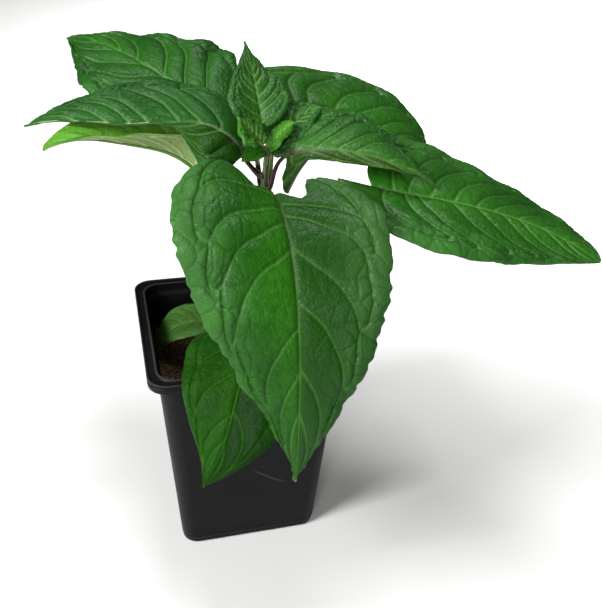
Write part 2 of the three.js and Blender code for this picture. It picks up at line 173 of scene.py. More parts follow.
# %% Colours and nodes
def colour(text):
    """Linear red, green, blue and alpha from a hex colour, by the usual sRGB curve."""
    raw = np.array([int(text[i:i + 2], 16) for i in (1, 3, 5)]) / 255
    linear = np.where(raw <= 0.04045, raw / 12.92, ((raw + 0.055) / 1.055) ** 2.4)
    return (*linear.tolist(), 1.0)


def add(tree, kind, values=None, links=None, **settings):
    """Adds a node, sets its own settings and the values of its inputs, and links its inputs. A text
    value is a hex colour. A link to a node means its first output in use. A Mix node mixes colours."""
    new = tree.nodes.new("ShaderNode" + kind)
    if kind == "Mix":
        new.data_type = "RGBA"
    for label, value in settings.items():
        setattr(new, label, value)
    for key, value in (values or {}).items():
        new.inputs[key].default_value = colour(value) if isinstance(value, str) else value
    for key, output in (links or {}).items():
        if isinstance(output, bpy.types.Node):
            output = next(socket for socket in output.outputs if socket.enabled)
        tree.links.new(output, new.inputs[key])
    return new


MIX_A, MIX_B = 6, 7  # the two colours of a Mix node, by their place among its inputs


def blank_material(name):
    """A material with an empty tree, and its tree."""
    material = bpy.data.materials.new(name)
    material.use_nodes = True
    material.node_tree.nodes.clear()
    return material, material.node_tree


print("a mid green in linear values:", np.round(colour("#1f550d"), 4))

# %% [markdown]
# ## The leaf as a surface
#
# A chilli leaf grows as one sheet on a midrib. The midrib is a curve in space: its compass heading and
# its climb change along it. At each step the two halves of the blade leave it like the two sides of a
# roof or a gutter, and each bends on towards its margin. The half width grows fast from the base and
# then runs out to a drawn-out tip. Angles are in degrees, and pairs are for the left and the right half,
# seen from the base. The plain CAD leaves were made from the same kind of values, so the finer leaves
# keep their form. `petiole` is the height on the stem that the leaf grows from, how steeply it starts,
# and its two radii.
#
# The real leaves vary, and each difference is one value of their own. `lobe` draws the base back round
# the petiole, `base_line` moves the base of a half forward again where the margin is cut away, and
# `flap` adds a wedge of blade beside the petiole. `wave` and `ragged` shape the margin. `vein_count` or
# `veins` gives the side veins, `puff` scales the cushions between them, and `net` the small fields.
# `rib_size` and `rib_line` thin a midrib, and the last pair is how much painted shade each half blade
# has, or on the strip under the left leaf how much painted light.

# %% The fourteen leaves
# What a leaf has unless its own values say otherwise.
COMMON = dict(
    base_share=(0.3, 0.3), lobe=(0, 0), flap=(None, None), base_line=(None, None), puff=1.0, net=1.0,
    ragged=0.2, vein_count=7, veins=(None, None), rib_size=1.0, rib_line=1.0, painted_light_and_shade=(0, 0))
LEAVES = {
    "leaf_front": dict(
        base=(9, -32, 183), length=128, heading=(-84, -93, -90), climb=(-13, -73, -96),
        half_width=(38, 44), widest_at=(0.19, 0.15), base_share=(0.6, 0.6), taper=(1.3, 1.55),
        left_tilt=(8, 0), right_tilt=(28, -15), curl=(4, -28), lobe=(2, 16), wave=(1.2, 5),
        petiole=(163, 25, 1.5, 1.1), net=1.2, ragged=0.9, painted_light_and_shade=(0.9, 0),
        veins=((0.05, 0.09, 0.21, 0.35, 0.56, 0.72), (0.03, 0.08, 0.135, 0.22, 0.43, 0.57, 0.71)),
        base_line=(((0, 0.08, 0.18, 0.28, 0.36, 0.46, 0.6, 0.8, 1),
            (0, 0.01, 0.035, 0.055, 0.05, 0.018, 0, 0, 0.03)), ((0, 0.1, 0.25, 0.4, 0.6, 1),
            (0, 0.025, 0.05, 0.03, 0.01, 0)))),
    "leaf_low_front": dict(
        base=(2, -24, 122), length=80, heading=(-95, -118, -127, -164), climb=(10, -32, -55, -51),
        half_width=(28.5, 26), widest_at=(0.39, 0.35), base_share=(0.5, 0.44), taper=(1.2, 1),
        left_tilt=(3, 0), right_tilt=(-7, 20), curl=(-11, -5), lobe=(5, 2), wave=(0.6, 4),
        petiole=(106, 40, 1.2, 1.0), puff=1.2, net=0.8, vein_count=5, painted_light_and_shade=(0.9, 0)),
    "leaf_low_left": dict(
        base=(-11, 3.5, 105), length=34, heading=(168, 167, 183), climb=(5, -28, -72),
        half_width=(10, 13), widest_at=(0.42, 0.46), taper=(0.9, 0.9), left_tilt=(-7, 9),
        right_tilt=(17, 19), curl=(-20, -4), wave=(0.3, 2), petiole=(95, 35, 0.9, 0.8)),
    "leaf_left": dict(
        base=(2.3, 0.6, 188.4), length=96, heading=(172, 171, 158, 153), climb=(60, -3, 0, -19),
        half_width=(22, 26), widest_at=(0.14, 0.45), base_share=(0.5, 0.58), taper=(24, 1.55),
        left_tilt=(-25, -50, -165, -175, -170), right_tilt=(5, 33, 36), curl=(-15, -14), lobe=(0, 11),
        wave=(0.8, 5), petiole=(179, 35, 1.2, 1.0), puff=2.3, net=0.6, vein_count=9, rib_size=0.25,
        rib_line=0.2, painted_light_and_shade=(1, 0)),
    "leaf_left_back": dict(
        base=(7, 42.5, 189.5), length=96.5, heading=(170, 134, 148), climb=(24, 17, -4),
        half_width=(34, 39), widest_at=(0.45, 0.32), base_share=(0.25, 0.55), taper=(0.95, 1.1),
        left_tilt=(-1, -15), right_tilt=(29, 2), curl=(-13, -11), lobe=(2, 0), wave=(1.4, 5),
        petiole=(171, 40, 1.3, 1.0), puff=2.2, net=0.6, ragged=0.9),
    "leaf_left_under": dict(
        base=(-13, 14, 173.5), length=70, heading=(170, 182, 190), climb=(58, 16, 10, -25),
        half_width=(17.5, 15.5), widest_at=(0.15, 0.5), base_share=(0.1, 0.1), taper=(1.4, 0.7),
        left_tilt=(56, 8), right_tilt=(70, 16), curl=(4, -13), wave=(0.5, 4), petiole=(155, 50, 1.2, 1.0),
        painted_light_and_shade=(0, 1)),
    "leaf_centre": dict(
        base=(9.7, -3.8, 199.8), length=35, heading=(94, 104, 110), climb=(63, 59, 64),
        half_width=(13, 13.4), widest_at=(0.34, 0.38), taper=(1.45, 1.35), left_tilt=(14, 2),
        right_tilt=(50, -40), curl=(-10, -15), wave=(0.5, 4), petiole=(191, 60, 0.8, 0.7), puff=1.5,
        net=1.4, vein_count=8),
    "leaf_right_back": dict(
        base=(25.6, 14.0, 203.3), length=79, heading=(18, -17, -2), climb=(-10, -23, -66),
        half_width=(28, 25), widest_at=(0.46, 0.43), base_share=(0.84, 0.8), taper=(0.6, 0.8),
        left_tilt=(29, 20), right_tilt=(-20, -20), curl=(-11, -10), lobe=(15, 10), wave=(0.5, 5),
        petiole=(158, 60, 1.1, 0.9), puff=2.0, net=0.6,
        base_line=(((0, 0.3, 1), (0, 0.02, 0.08)), ((0, 0.3, 1), (0, 0.02, 0.08)))),
    "leaf_right_young": dict(
        base=(17.1, -13.4, 193), length=67, heading=(-31, -20, -4), climb=(18, -10, -38),
        half_width=(27, 5), widest_at=(0.44, 0.4), base_share=(0.3, 0.4), taper=(2, 2), left_tilt=(38, 0),
        right_tilt=(-105, -60), curl=(-18, -10), lobe=(-8, 9), wave=(0.5, 5), petiole=(174, 55, 1.1, 0.9),
        puff=2.0, net=0.7, vein_count=6, rib_size=0.4, rib_line=0.5, painted_light_and_shade=(0, 0.9),
        flap=(None, (19, 0.2)), base_line=(None, ((0, 0.2, 0.45, 0.8, 1), (0, 0.055, 0.075, 0.03, 0)))),
    "leaf_right": dict(
        base=(51, -26, 180.2), length=101, heading=(-20, -14, -48), climb=(-6, -14, -25),
        half_width=(35, 29), widest_at=(0.29, 0.32), base_share=(0.5, 0.33), taper=(0.6, 0.85),
        left_tilt=(38, -8), right_tilt=(24, -11, -16, -19, -22, -25, -28, -31, -34), curl=(-13, -11),
        lobe=(12, 15), wave=(0.6, 6), petiole=(147, 45, 1.5, 1.1), puff=1.6, net=0.8, vein_count=9,
        base_line=(((0, 0.25, 0.4, 0.6, 0.8, 1), (0, 0.03, 0.05, 0.08, 0.08, 0.08)), None)),
    "leaf_tip_left": dict(
        base=(8.6, -13.0, 196.0), length=15, heading=(186, 165, 172), climb=(40, 47, 52),
        half_width=(9.5, 9), widest_at=(0.43, 0.4), taper=(0.9, 0.95), left_tilt=(2, -10),
        right_tilt=(33, 10), curl=(-19, -7), lobe=(-5, 0), wave=(0.4, 3), petiole=(189, 40, 0.7, 0.6),
        puff=3.0, net=1.5, ragged=0.8, vein_count=6),
    "leaf_tip_under": dict(
        base=(9.4, -10.0, 192.2), length=11, heading=(198, 200, 202), climb=(16, -15, -33),
        half_width=(6, 5), widest_at=(0.4, 0.4), taper=(0.9, 1), left_tilt=(12, -7), right_tilt=(29, 9),
        curl=(-11, -8), lobe=(0, 2), wave=(0.2, 2), petiole=(185, 20, 0.7, 0.6)),
    "leaf_tip_bright": dict(
        base=(12.6, -9.2, 192.6), length=15, heading=(-17, -27, -25), climb=(53, 56, 42),
        half_width=(7, 6.5), widest_at=(0.49, 0.5), taper=(0.9, 0.7), left_tilt=(40, 17),
        right_tilt=(6, -20), curl=(-5, -15), wave=(0.2, 2), petiole=(188, 30, 0.7, 0.6), puff=3.5,
        net=2.0, ragged=1.6, vein_count=6),
    "leaf_tip_right": dict(
        base=(14.0, -3.6, 191.0), length=27, heading=(1, 4, 0), climb=(61, 36, 16), half_width=(12.5, 12),
        widest_at=(0.41, 0.4), base_share=(0.3, 0.7), taper=(1.1, 0.9), left_tilt=(43, 23),
        right_tilt=(-8, -6), curl=(-12, -12), lobe=(0, 1), wave=(0.5, 4), petiole=(190, 40, 0.8, 0.7),
        puff=2.4, net=1.5, ragged=0.8, vein_count=8),
}
LEAVES = {name: {**COMMON, **own} for name, own in LEAVES.items()}
print(len(LEAVES), "leaves")


# %% Values along a leaf, and the midrib
def along(values, t):
    """A value along a leaf: a straight change between two values, a parabola through three, and a
    smooth curve through more."""
    v = np.asarray(values, float)
    if len(v) == 2:
        return v[0] + (v[1] - v[0]) * t
    if len(v) == 3:
        return v[0] + (4 * v[1] - 3 * v[0] - v[2]) * t + 2 * (v[0] - 2 * v[1] + v[2]) * t * t
    place = t * (len(v) - 1)
    i = np.clip(place.astype(int), 0, len(v) - 2)
    f = place - i
    padded = np.concatenate(([2 * v[0] - v[1]], v, [2 * v[-1] - v[-2]]))
    a, b, c, d = (padded[i + k] for k in range(4))
    return b + 0.5 * f * (c - a + f * (2 * a - 5 * b + 4 * c - d + f * (3 * (b - c) + d - a)))


MIDRIB_STEPS = 320


def midrib(leaf, t):
    """Places, directions, level directions to the right, and up, at each t. The direction is worked out
    from heading and climb, and the place is the sum of the directions so far."""
    fine = np.linspace(0, 1, MIDRIB_STEPS + 1)
    heading = np.radians(along(leaf["heading"], fine))
    climb = np.radians(along(leaf["climb"], fine))
    level = np.cos(climb)
    ahead = np.stack((level * np.cos(heading), level * np.sin(heading), np.sin(climb)), -1)
    steps = (ahead[1:] + ahead[:-1]) / 2 * leaf["length"] / MIDRIB_STEPS
    place = np.vstack((np.zeros(3), np.cumsum(steps, 0))) + leaf["base"]
    right = np.stack((np.sin(heading), -np.cos(heading), np.zeros_like(fine)), -1)
    up = np.cross(right, ahead)
    pick = lambda a: np.stack([np.interp(t, fine, a[:, k]) for k in range(3)], -1)
    return pick(place), pick(ahead), pick(right), pick(up)


print("the front leaf's midrib ends at", np.round(midrib(LEAVES["leaf_front"], 1.0)[0], 1), "mm")

# %% The width and the bent halves
TIP_HALF_WIDTH = 0.45  # mm
TIP_POWER = 1.7
LOBE_SPAN = 1.35  # a lobe is half a sine wave across the half blade, which would end at this reach
WAVE_START = (2.6, 0.9)  # where in a wave the left and the right margin start, in radians
STRAIGHT = 0.1  # degrees; a row without curl is an arc of this much


def width_share(t, base_share, widest_at, taper):
    """Half width as a share of its greatest: a quarter ellipse from its share at the base up to the
    widest place, then (1 - s^power)^taper, where s runs from 0 there to 1 at the tip."""
    rising = np.sqrt(1 - (1 - base_share ** 2) * (1 - np.clip(t / widest_at, 0, 1)) ** 2)
    s = np.clip((t - widest_at) / (1 - widest_at), 0, 1)
    return np.where(t < widest_at, rising, np.maximum(1 - s ** TIP_POWER, 0) ** taper)


def half_widths(leaf, side, t):
    """Half width in mm of one half of the blade at each t: its share of the greatest, and at the base a
    flap's extra, which shrinks evenly to nothing."""
    share = width_share(t, leaf["base_share"][side], leaf["widest_at"][side], leaf["taper"][side])
    extra, span = leaf["flap"][side] or (0, 1)
    width = leaf["half_width"][side] * share + extra * np.clip(1 - t / span, 0, 1)
    return np.maximum(width, TIP_HALF_WIDTH)


def rows_along(leaf, side, rows, reach):
    """The t of each grid point of a half blade: even rows, but near the base they start only at the
    leaf's own base line, which is given as t at a few reaches. Its effect fades as (1 - row)^5."""
    line = leaf["base_line"][side] or ((0, 1), (0, 0))
    start = np.interp(reach, *line)
    return rows[:, None] + start[None, :] * (1 - rows[:, None]) ** 5


def half_blade(leaf, side, t, reach):
    """One half of the blade, side 0 to the left and 1 to the right: from the midrib each row is an arc
    that starts at its tilt and turns by its curl, reach 0 to 1. Its margin waves, and near the base it
    is pushed back into a lobe."""
    place, ahead, right, up = midrib(leaf, t)
    reach = reach[None, :]
    sign = 1 if side else -1
    width = half_widths(leaf, side, t)
    tilt = np.radians(along(leaf["right_tilt" if side else "left_tilt"], t))
    curl = np.radians(leaf["curl"][side] or STRAIGHT)
    out = (np.sin(tilt + curl * reach) - np.sin(tilt)) / curl
    rise = (np.cos(tilt) - np.cos(tilt + curl * reach)) / curl
    back = leaf["lobe"][side] * (1 - t) ** 3 * np.sin(np.pi * reach / LOBE_SPAN)
    height, waves = leaf["wave"]
    fade = np.minimum(1, (1 - t) * 4) * reach ** 2
    ripple = height * fade * np.sin(2 * np.pi * waves * t + WAVE_START[side])
    aside = sign * (width * out - ripple * np.sin(tilt + curl * reach))
    lift = width * rise + ripple * np.cos(tilt + curl * reach)
    return place + right * aside[..., None] + up * lift[..., None] - ahead * back[..., None]


margin = half_blade(LEAVES["leaf_front"], 1, np.linspace(0, 1, 5)[:, None], np.linspace(0, 1, 3))[:, -1]
print("the front leaf's right margin runs from", np.round(margin[0], 1), "to", np.round(margin[-1], 1))

# %% [markdown]
# ## The vein pattern
#
# A chilli leaf has one midrib, and from it side veins arch towards the margin and bend forward along
# it. Between them a net of small veins closes off fields of a few millimetres. The blade stands up in
# every field and dips at every vein, which is what catches the light. Each side vein is a line t = start
# + bend, where the bend grows with the distance from the midrib, so every point knows the veins before
# and after it. The small net is the set of borders between scattered points, each of which rules the
# field round itself.

# %% Curves of a distance, borders between scattered points, and smooth noise
BORDER_TABLE, NOISE_TABLE = (97, 89), (61, 67)  # after so many boxes the random numbers repeat


def bell(distance, width):
    """A bell curve: exp(-(distance / width)^2)."""
    return np.exp(-(distance / width) ** 2)


def swell(distance, scale):
    """From 0 at no distance up to 1: 1 - exp(-distance / scale)."""
    return 1 - np.exp(-distance / scale)


def cell_borders(x, y, length, fields, seed):
    """Distance in mm from each point to the nearest border between the fields of scattered points, one
    point in each box of a grid, moved at random. The border lies half way between two of them."""
    size_x, size_y = length / fields[0], length / fields[1]
    rows, columns = BORDER_TABLE
    table = np.random.default_rng(seed).uniform(-0.36, 0.36, (2, rows, columns))
    box_x, box_y = np.floor(x / size_x).astype(int), np.floor(y / size_y).astype(int)
    near_x, near_y = [], []
    for dx in (-1, 0, 1):
        for dy in (-1, 0, 1):
            i, j = box_x + dx, box_y + dy
            near_x.append((i + 0.5 + table[0, i % rows, j % columns]) * size_x)
            near_y.append((j + 0.5 + table[1, i % rows, j % columns]) * size_y)
    near_x, near_y = np.array(near_x), np.array(near_y)
    first = np.argmin((near_x - x) ** 2 + (near_y - y) ** 2, 0)[None]
    own_x = np.take_along_axis(near_x, first, 0)
    own_y = np.take_along_axis(near_y, first, 0)
    gap_x, gap_y = near_x - own_x, near_y - own_y
    span = np.hypot(gap_x, gap_y)
    away = ((near_x + own_x) / 2 - x) * gap_x + ((near_y + own_y) / 2 - y) * gap_y
    return np.where(span > 1e-6, away / np.maximum(span, 1e-6), np.inf).min(0)


def smooth_noise(x, y, size, seed):
    """A random height from -1 to 1 on a grid of boxes of that size in mm, eased between their corners."""
    rows, columns = NOISE_TABLE
    table = np.random.default_rng(seed).uniform(-1, 1, NOISE_TABLE)
    i, j = np.floor(x / size).astype(int), np.floor(y / size).astype(int)
    f, g = x / size - i, y / size - j
    f, g = f * f * (3 - 2 * f), g * g * (3 - 2 * g)
    corner = lambda a, b: table[(i + a) % rows, (j + b) % columns]
    low = corner(0, 0) * (1 - f) + corner(1, 0) * f
    high = corner(0, 1) * (1 - f) + corner(1, 1) * f
    return low * (1 - g) + high * g


print("a bell curve at its own width:", round(float(bell(1, 1)), 3))

# %% The side veins, and each point's distances
ARCH_REACH = 0.72  # where the arches between side veins start, as a share of the half width
# How many fields of each kind of net go into a leaf's length, along it and across it.
NET_FIELDS, MARGIN_FIELDS, RUNG_FIELDS = (16, 22), (32, 7), (36, 13)
BEHIND_BASE, BEYOND_TIP = (-0.9,), (1.1, 1.6)  # extra veins, off the blade, that close the row


def vein_starts(leaf, side, seed):
    """Where on the midrib the side veins start: the leaf's own list, or close together at the base and
    wider apart towards the tip, each a little off."""
    places, count = leaf["veins"][side], leaf["vein_count"]
    if places is None:
        even = np.linspace(0.0, 1.0, count + 1)[:-1]
        places = 0.05 + 0.9 * even ** 1.1
        places = places + np.random.default_rng(seed).uniform(-0.25, 0.25, count) * 0.9 / count
    return np.concatenate((BEHIND_BASE, places, BEYOND_TIP))


def vein_bend(starts, reach):
    """How far forward along the leaf each side vein has run, as a share of the leaf: little for those
    at the base and up to a quarter for the others, by 1.2 reach + 1.2 reach^5."""
    strength = 0.25 * swell(np.maximum(starts, 0), 0.1)
    return strength * (1.2 * reach + 1.2 * reach ** 5), strength * (1.2 + 6 * reach ** 4)


def vein_pattern(leaf, side, t, reach, starts, seed):
    """Distances in mm from each point of one half blade to the midrib, to the nearest side vein or the
    arch that joins it to the next one, to the nearest small vein, and to the nearest of the finest veins,
    which run across like rungs."""
    length = leaf["length"]
    bend, slope = vein_bend(starts[None, :], reach[:, None])
    vein_t = starts[None, :] + bend
    true_width = half_widths(leaf, side, t)
    width = np.maximum(true_width, 0.12 * length ** 0.8)
    wobble = 0.012 * smooth_noise(t * length, reach[None, :] * width, 0.1 * length, seed)
    place = t + wobble
    gap = np.abs(place[..., None] - vein_t[None])
    steep = slope[None] * length / width[..., None]
    apart = (gap * length / np.sqrt(1 + steep ** 2)).min(-1)
    k = np.clip((place[..., None] > vein_t[None]).sum(-1) - 1, 0, len(starts) - 2)
    column = np.arange(len(reach))[None, :]
    before, after = vein_t[column, k], vein_t[column, k + 1]
    share = np.clip((place - before) / (after - before), 0, 1)
    arch = ARCH_REACH + 0.09 * np.sin(np.pi * share) + 3 * wobble
    to_arch = (reach[None, :] - arch) * width
    to_side_vein = np.where(to_arch < 0, np.minimum(apart, -to_arch), to_arch)
    to_midrib = reach[None, :] * true_width
    x, y = t * length + 400, to_midrib + 400
    x = x + 0.02 * length * smooth_noise(x, y, 0.06 * length, seed + 60)
    y = y + 0.02 * length * smooth_noise(x, y, 0.05 * length, seed + 61)
    to_net = np.where(to_arch < 0, cell_borders(x, y, length, NET_FIELDS, seed + 50),
                      cell_borders(x, y, length, MARGIN_FIELDS, seed + 52))
    to_rung = cell_borders(x, y, length, RUNG_FIELDS, seed + 51)
    return to_midrib, to_side_vein, to_net, to_rung


print("net fields in mm:", np.round(LEAVES["leaf_front"]["length"] / np.array(NET_FIELDS), 1))

# %% [markdown]
# ## From pattern to relief
#
# The relief has three scales, as on the real leaf: broad cushions between the side veins, small
# cushions in the fields of the net, and a narrow channel along each vein. Underneath, the veins stand
# out as ridges instead, and the midrib is a rod that the petiole runs on into. The blade is 0.4 mm
# thick and thins out to its margin.

# %% Relief of the upper side and the underside
BLADE_THICKNESS = 0.42  # mm
FRONT_LENGTH = 128  # mm; the sizes in the relief are those of the front leaf


def relief_scale(leaf):
    """How coarse a leaf's relief is beside the front leaf's: (length / front leaf's length)^0.6."""
    return (leaf["length"] / FRONT_LENGTH) ** 0.6


def relief(leaf, to_midrib, to_side_vein, to_net, to_rung, reach):
    """Heights in mm: of the blade's middle, of the upper channels and of the ridges underneath. Each
    cushion rises as 1 - exp(-distance / its scale), and each channel is a bell curve."""
    size = relief_scale(leaf)
    reach = reach[None, :]
    edge = 1 - reach ** 12
    outer = 0.6 + 0.4 * np.clip((reach - 0.25) / 0.45, 0, 1)
    clear = swell(to_midrib, 1.6 * size)
    broad = size * swell(to_side_vein, 2.4 * size) + 0.55 * size * swell(to_side_vein, 0.45 * size)
    fields = 0.2 * size * swell(to_net, 1.1 * size) + 0.3 * size * swell(to_net, 0.35 * size)
    inner = 0.3 + 0.7 * np.clip((reach - 0.5) / 0.25, 0, 1)
    rungs = 0.15 * size * swell(to_rung, 0.45 * size) * (1 - 0.7 * reach)
    middle = leaf["puff"] * edge * clear * (outer * broad + leaf["net"] * (inner * fields + rungs))
    channel = 0.25 * size * bell(to_midrib, 0.9 * size)
    ridge = 0.35 * size * bell(to_side_vein, 0.45 * size) * edge * (1 - 0.6 * reach)
    ridge += 0.1 * size * bell(to_net, 0.25 * size) * edge
    return middle, channel, ridge


def surface_direction(points):
    """The direction square to a grid surface at each point, upwards: the step across times the step
    along, as a cross product."""
    across = np.gradient(points, axis=1)
    down = np.gradient(points, axis=0)
    normal = np.cross(across, down)
    return normal / np.maximum(np.linalg.norm(normal, axis=-1, keepdims=True), 1e-9)


print("coarseness of each leaf's relief:", [round(relief_scale(leaf), 2) for leaf in LEAVES.values()])

# %% [markdown]
# ## The petiole
#
# A petiole is the leaf's own stalk. It leaves the stem at a steep angle, bends over and runs on as the
# midrib, which is thick at the base and fine at the tip. Here it is one rod on a smooth path: a curve
# from the stem to the blade, and then the midrib itself, a little below the blade's middle.

# %% The stem's line
STEM_POINTS = np.array([
    (5, 0, 62), (5.5, -0.5, 86), (8, -2, 125), (10.2, -3, 160), (11.4, -3.1, 178), (12.4, -3.4, 194),
], float)
STEM_RADII = np.array((2.2, 3.1, 2.5, 1.9, 1.45, 0.9))  # one for each of the points


def stem_place(height):
    """The stem's middle at each height: a smooth curve through its points, with the slope at each taken
    from its two neighbours."""
    heights = STEM_POINTS[:, 2]
    height = np.asarray(height, float)
    i = np.clip(np.searchsorted(heights, height, "right") - 1, 0, len(heights) - 2)
    slopes = np.gradient(STEM_POINTS[:, :2], heights, axis=0)
    span = heights[i + 1] - heights[i]
    f = ((height - heights[i]) / span)[..., None]
    start, end = STEM_POINTS[i, :2], STEM_POINTS[i + 1, :2]
    bend_in, bend_out = slopes[i] * span[..., None], slopes[i + 1] * span[..., None]
    flat = (start * (2 * f ** 3 - 3 * f ** 2 + 1) + bend_in * (f ** 3 - 2 * f ** 2 + f)
            + end * (3 * f ** 2 - 2 * f ** 3) + bend_out * (f ** 3 - f ** 2))
    return np.concatenate((flat, height[..., None]), -1)


def stem_radius(height):
    """The stem's radius at each height."""
    return np.interp(height, STEM_POINTS[:, 2], STEM_RADII)


print("the stem at 100 mm:", np.round(stem_place(100), 2), "and its radius:", round(stem_radius(100), 2))


# %% A rod along a path
def unit(vector):
    """The same direction, 1 long."""
    return vector / np.linalg.norm(vector)


def rod(path, radii, sides, first=0):
    """A round rod: a ring of points round each place of the path, square to it, without twist, closed
    by a fan at each end. radii is one value a ring, or one for each point of a ring."""
    path = np.asarray(path)
    heading = np.gradient(path, axis=0)
    heading /= np.linalg.norm(heading, axis=1, keepdims=True)
    start = np.cross(heading[0], (0, 0, 1))
    aside = unit(start if np.linalg.norm(start) > 0.1 else np.cross(heading[0], (0, 1, 0)))
    asides = []
    for ahead in heading:
        aside = unit(aside - ahead * (aside @ ahead))
        asides.append(aside)
    asides = np.array(asides)
    above = np.cross(asides, heading)
    angle = np.arange(sides) / sides * 2 * np.pi
    radii = np.asarray(radii, float)
    radii = radii[:, None] if radii.ndim == 1 else radii
    ring = asides[:, None] * np.cos(angle)[:, None] + above[:, None] * np.sin(angle)[:, None]
    rings = path[:, None] + ring * radii[..., None]
    points, quads, caps = closed_rings(rings, path[0], path[-1], first)
    return points, quads[:, ::-1], caps[:, ::-1]


print("a rod of 3 rings has", len(rod([(0, 0, 0), (0, 0, 1), (0, 0, 2)], np.ones(3), 8)[0]), "points")


# %% The petiole's path
def petiole_path(leaf):
    """Places and radii from inside the stem's skin to the blade and on along its midrib: a cubic curve
    with four control points, then the midrib."""
    height, steepness, thick, thin = leaf["petiole"]
    steepness = np.radians(steepness)
    root = stem_place(height)
    base = np.array(leaf["base"], float)
    outward = base - root
    outward[2] = 0
    outward = unit(outward)
    start = outward * np.cos(steepness)
    start[2] = np.sin(steepness)
    skin = root + outward * (stem_radius(height) + 0.35 + thick * start[2])
    span = np.linalg.norm(base - skin)
    (_, inside), (first, _), _, (_, above) = midrib(leaf, np.array((0.0, 0.1)))
    control = np.array((skin, skin + start * span * 0.35, base - first * span * 0.3,
                        inside - above * (thin * 0.75 + 0.1)))
    f = np.linspace(0, 1, max(12, int(span / 2)))[:, None]
    weights = np.hstack(((1 - f) ** 3, 3 * f * (1 - f) ** 2, 3 * f * f * (1 - f), f ** 3))
    stalk = weights @ control
    joint = np.linspace(root + outward * stem_radius(height) * 0.4, skin, 4)[:-1]
    t = np.linspace(0.1, 0.97, max(10, int(leaf["length"] / 2.5)))[1:]
    rib, _, _, up = midrib(leaf, t)
    fine = leaf["rib_size"] * (thin * 0.75 * (1 - (t - 0.1) / 0.87) ** 0.8 + 0.12)
    path = np.vstack((joint, stalk, rib - up * (fine + 0.1)[:, None]))
    radii = np.concatenate((np.linspace(thick * 1.5, thick * 1.15, 3),
                            thick + (thin * 0.75 - thick) * f[:, 0], fine))
    radii[3:8] *= np.linspace(1.12, 1.0, 5)  # a little thicker where it leaves the stem
    share = np.concatenate((np.zeros(3), f[:, 0], 1 + t))
    return path, radii, share


print("the front leaf's petiole has", len(petiole_path(LEAVES["leaf_front"])[0]), "rings")

# %% [markdown]
# ## One leaf, put together
#
# The two half blades meet on the midrib and share its points. The middle sheet is moved up to give the
# upper side and down to give the underside, and a narrow strip closes the margin. The petiole's rod is
# a second closed shell in the same piece, because on the plant it is the same leaf.

# %% Half a leaf, and what its colours are mixed from
def half_leaf(leaf, side, rows, step, seed):
    """One half blade on a grid of about `step` mm, the margin pushed in and out by noise: its points,
    its relief, and at each point the four distances, reach, t and its share of painted shade (painted
    light on the strip under the left leaf)."""
    reach = np.linspace(0, 1, int(leaf["half_width"][side] / step) + 2)
    t = rows_along(leaf, side, np.linspace(0, 1, rows), reach)
    points = half_blade(leaf, side, t, reach)
    starts = vein_starts(leaf, side, seed + 7 * side)
    distances = vein_pattern(leaf, side, t, reach, starts, seed + 3 * side)
    rough = smooth_noise(t * leaf["length"] + 90, 40.0 * side + 0 * t, 2.2, seed)
    push = leaf["ragged"] * rough * reach[None, :] ** 6
    away = points - points[:, :1]
    away = away / np.maximum(np.linalg.norm(away, axis=-1, keepdims=True), 1e-6)
    return (points + away * push[..., None], *relief(leaf, *distances, reach), *distances,
            reach[None, :] + 0 * t, t, np.full(t.shape, float(leaf["painted_light_and_shade"][side])))


def leaf_marks(leaf, step, to_midrib, to_side_vein, to_net, to_rung, reach, t):
    """How strongly each point shows a pale rib, painted shade in the creases of the net and the flush at
    the base, 0 to 1: bell curves of the distances. A band of painted shadow runs just beside each side
    vein."""
    size = relief_scale(leaf)
    line = np.maximum(max(0.36, 0.42 * size) * (1.25 - reach), 0.65 * step)
    rib = np.maximum(leaf["rib_line"] * bell(to_midrib, 0.55 * size * (1.15 - t)),
                     0.6 * (1.1 - 0.5 * reach) * bell(to_side_vein, line))
    net = np.maximum(bell(to_net, max(0.32 * size, 0.6 * step)) * np.clip(reach * 2, 0.3, 1),
                     0.4 * bell(to_rung, 0.3 * size) * (1 - reach)) * min(leaf["net"], 1)
    # Painted shadow: a band just beside each side vein darkens the blade.
    beside = 0.75 * bell(to_side_vein - 2.2 * line, 1.2 * line) * np.clip(to_midrib / size - 0.5, 0, 1)
    flush = bell(to_midrib, 0.6 * size) * np.clip(1 - t / 0.3, 0, 1)
    return rib, np.maximum(net, beside), flush


print("half a leaf is", len(half_leaf(LEAVES["leaf_tip_under"], 0, 3, 1.0, 0)), "grids of numbers")

# %% The whole leaf
SMALL_LEAF = 40  # mm; a shorter leaf's petiole has fewer sides


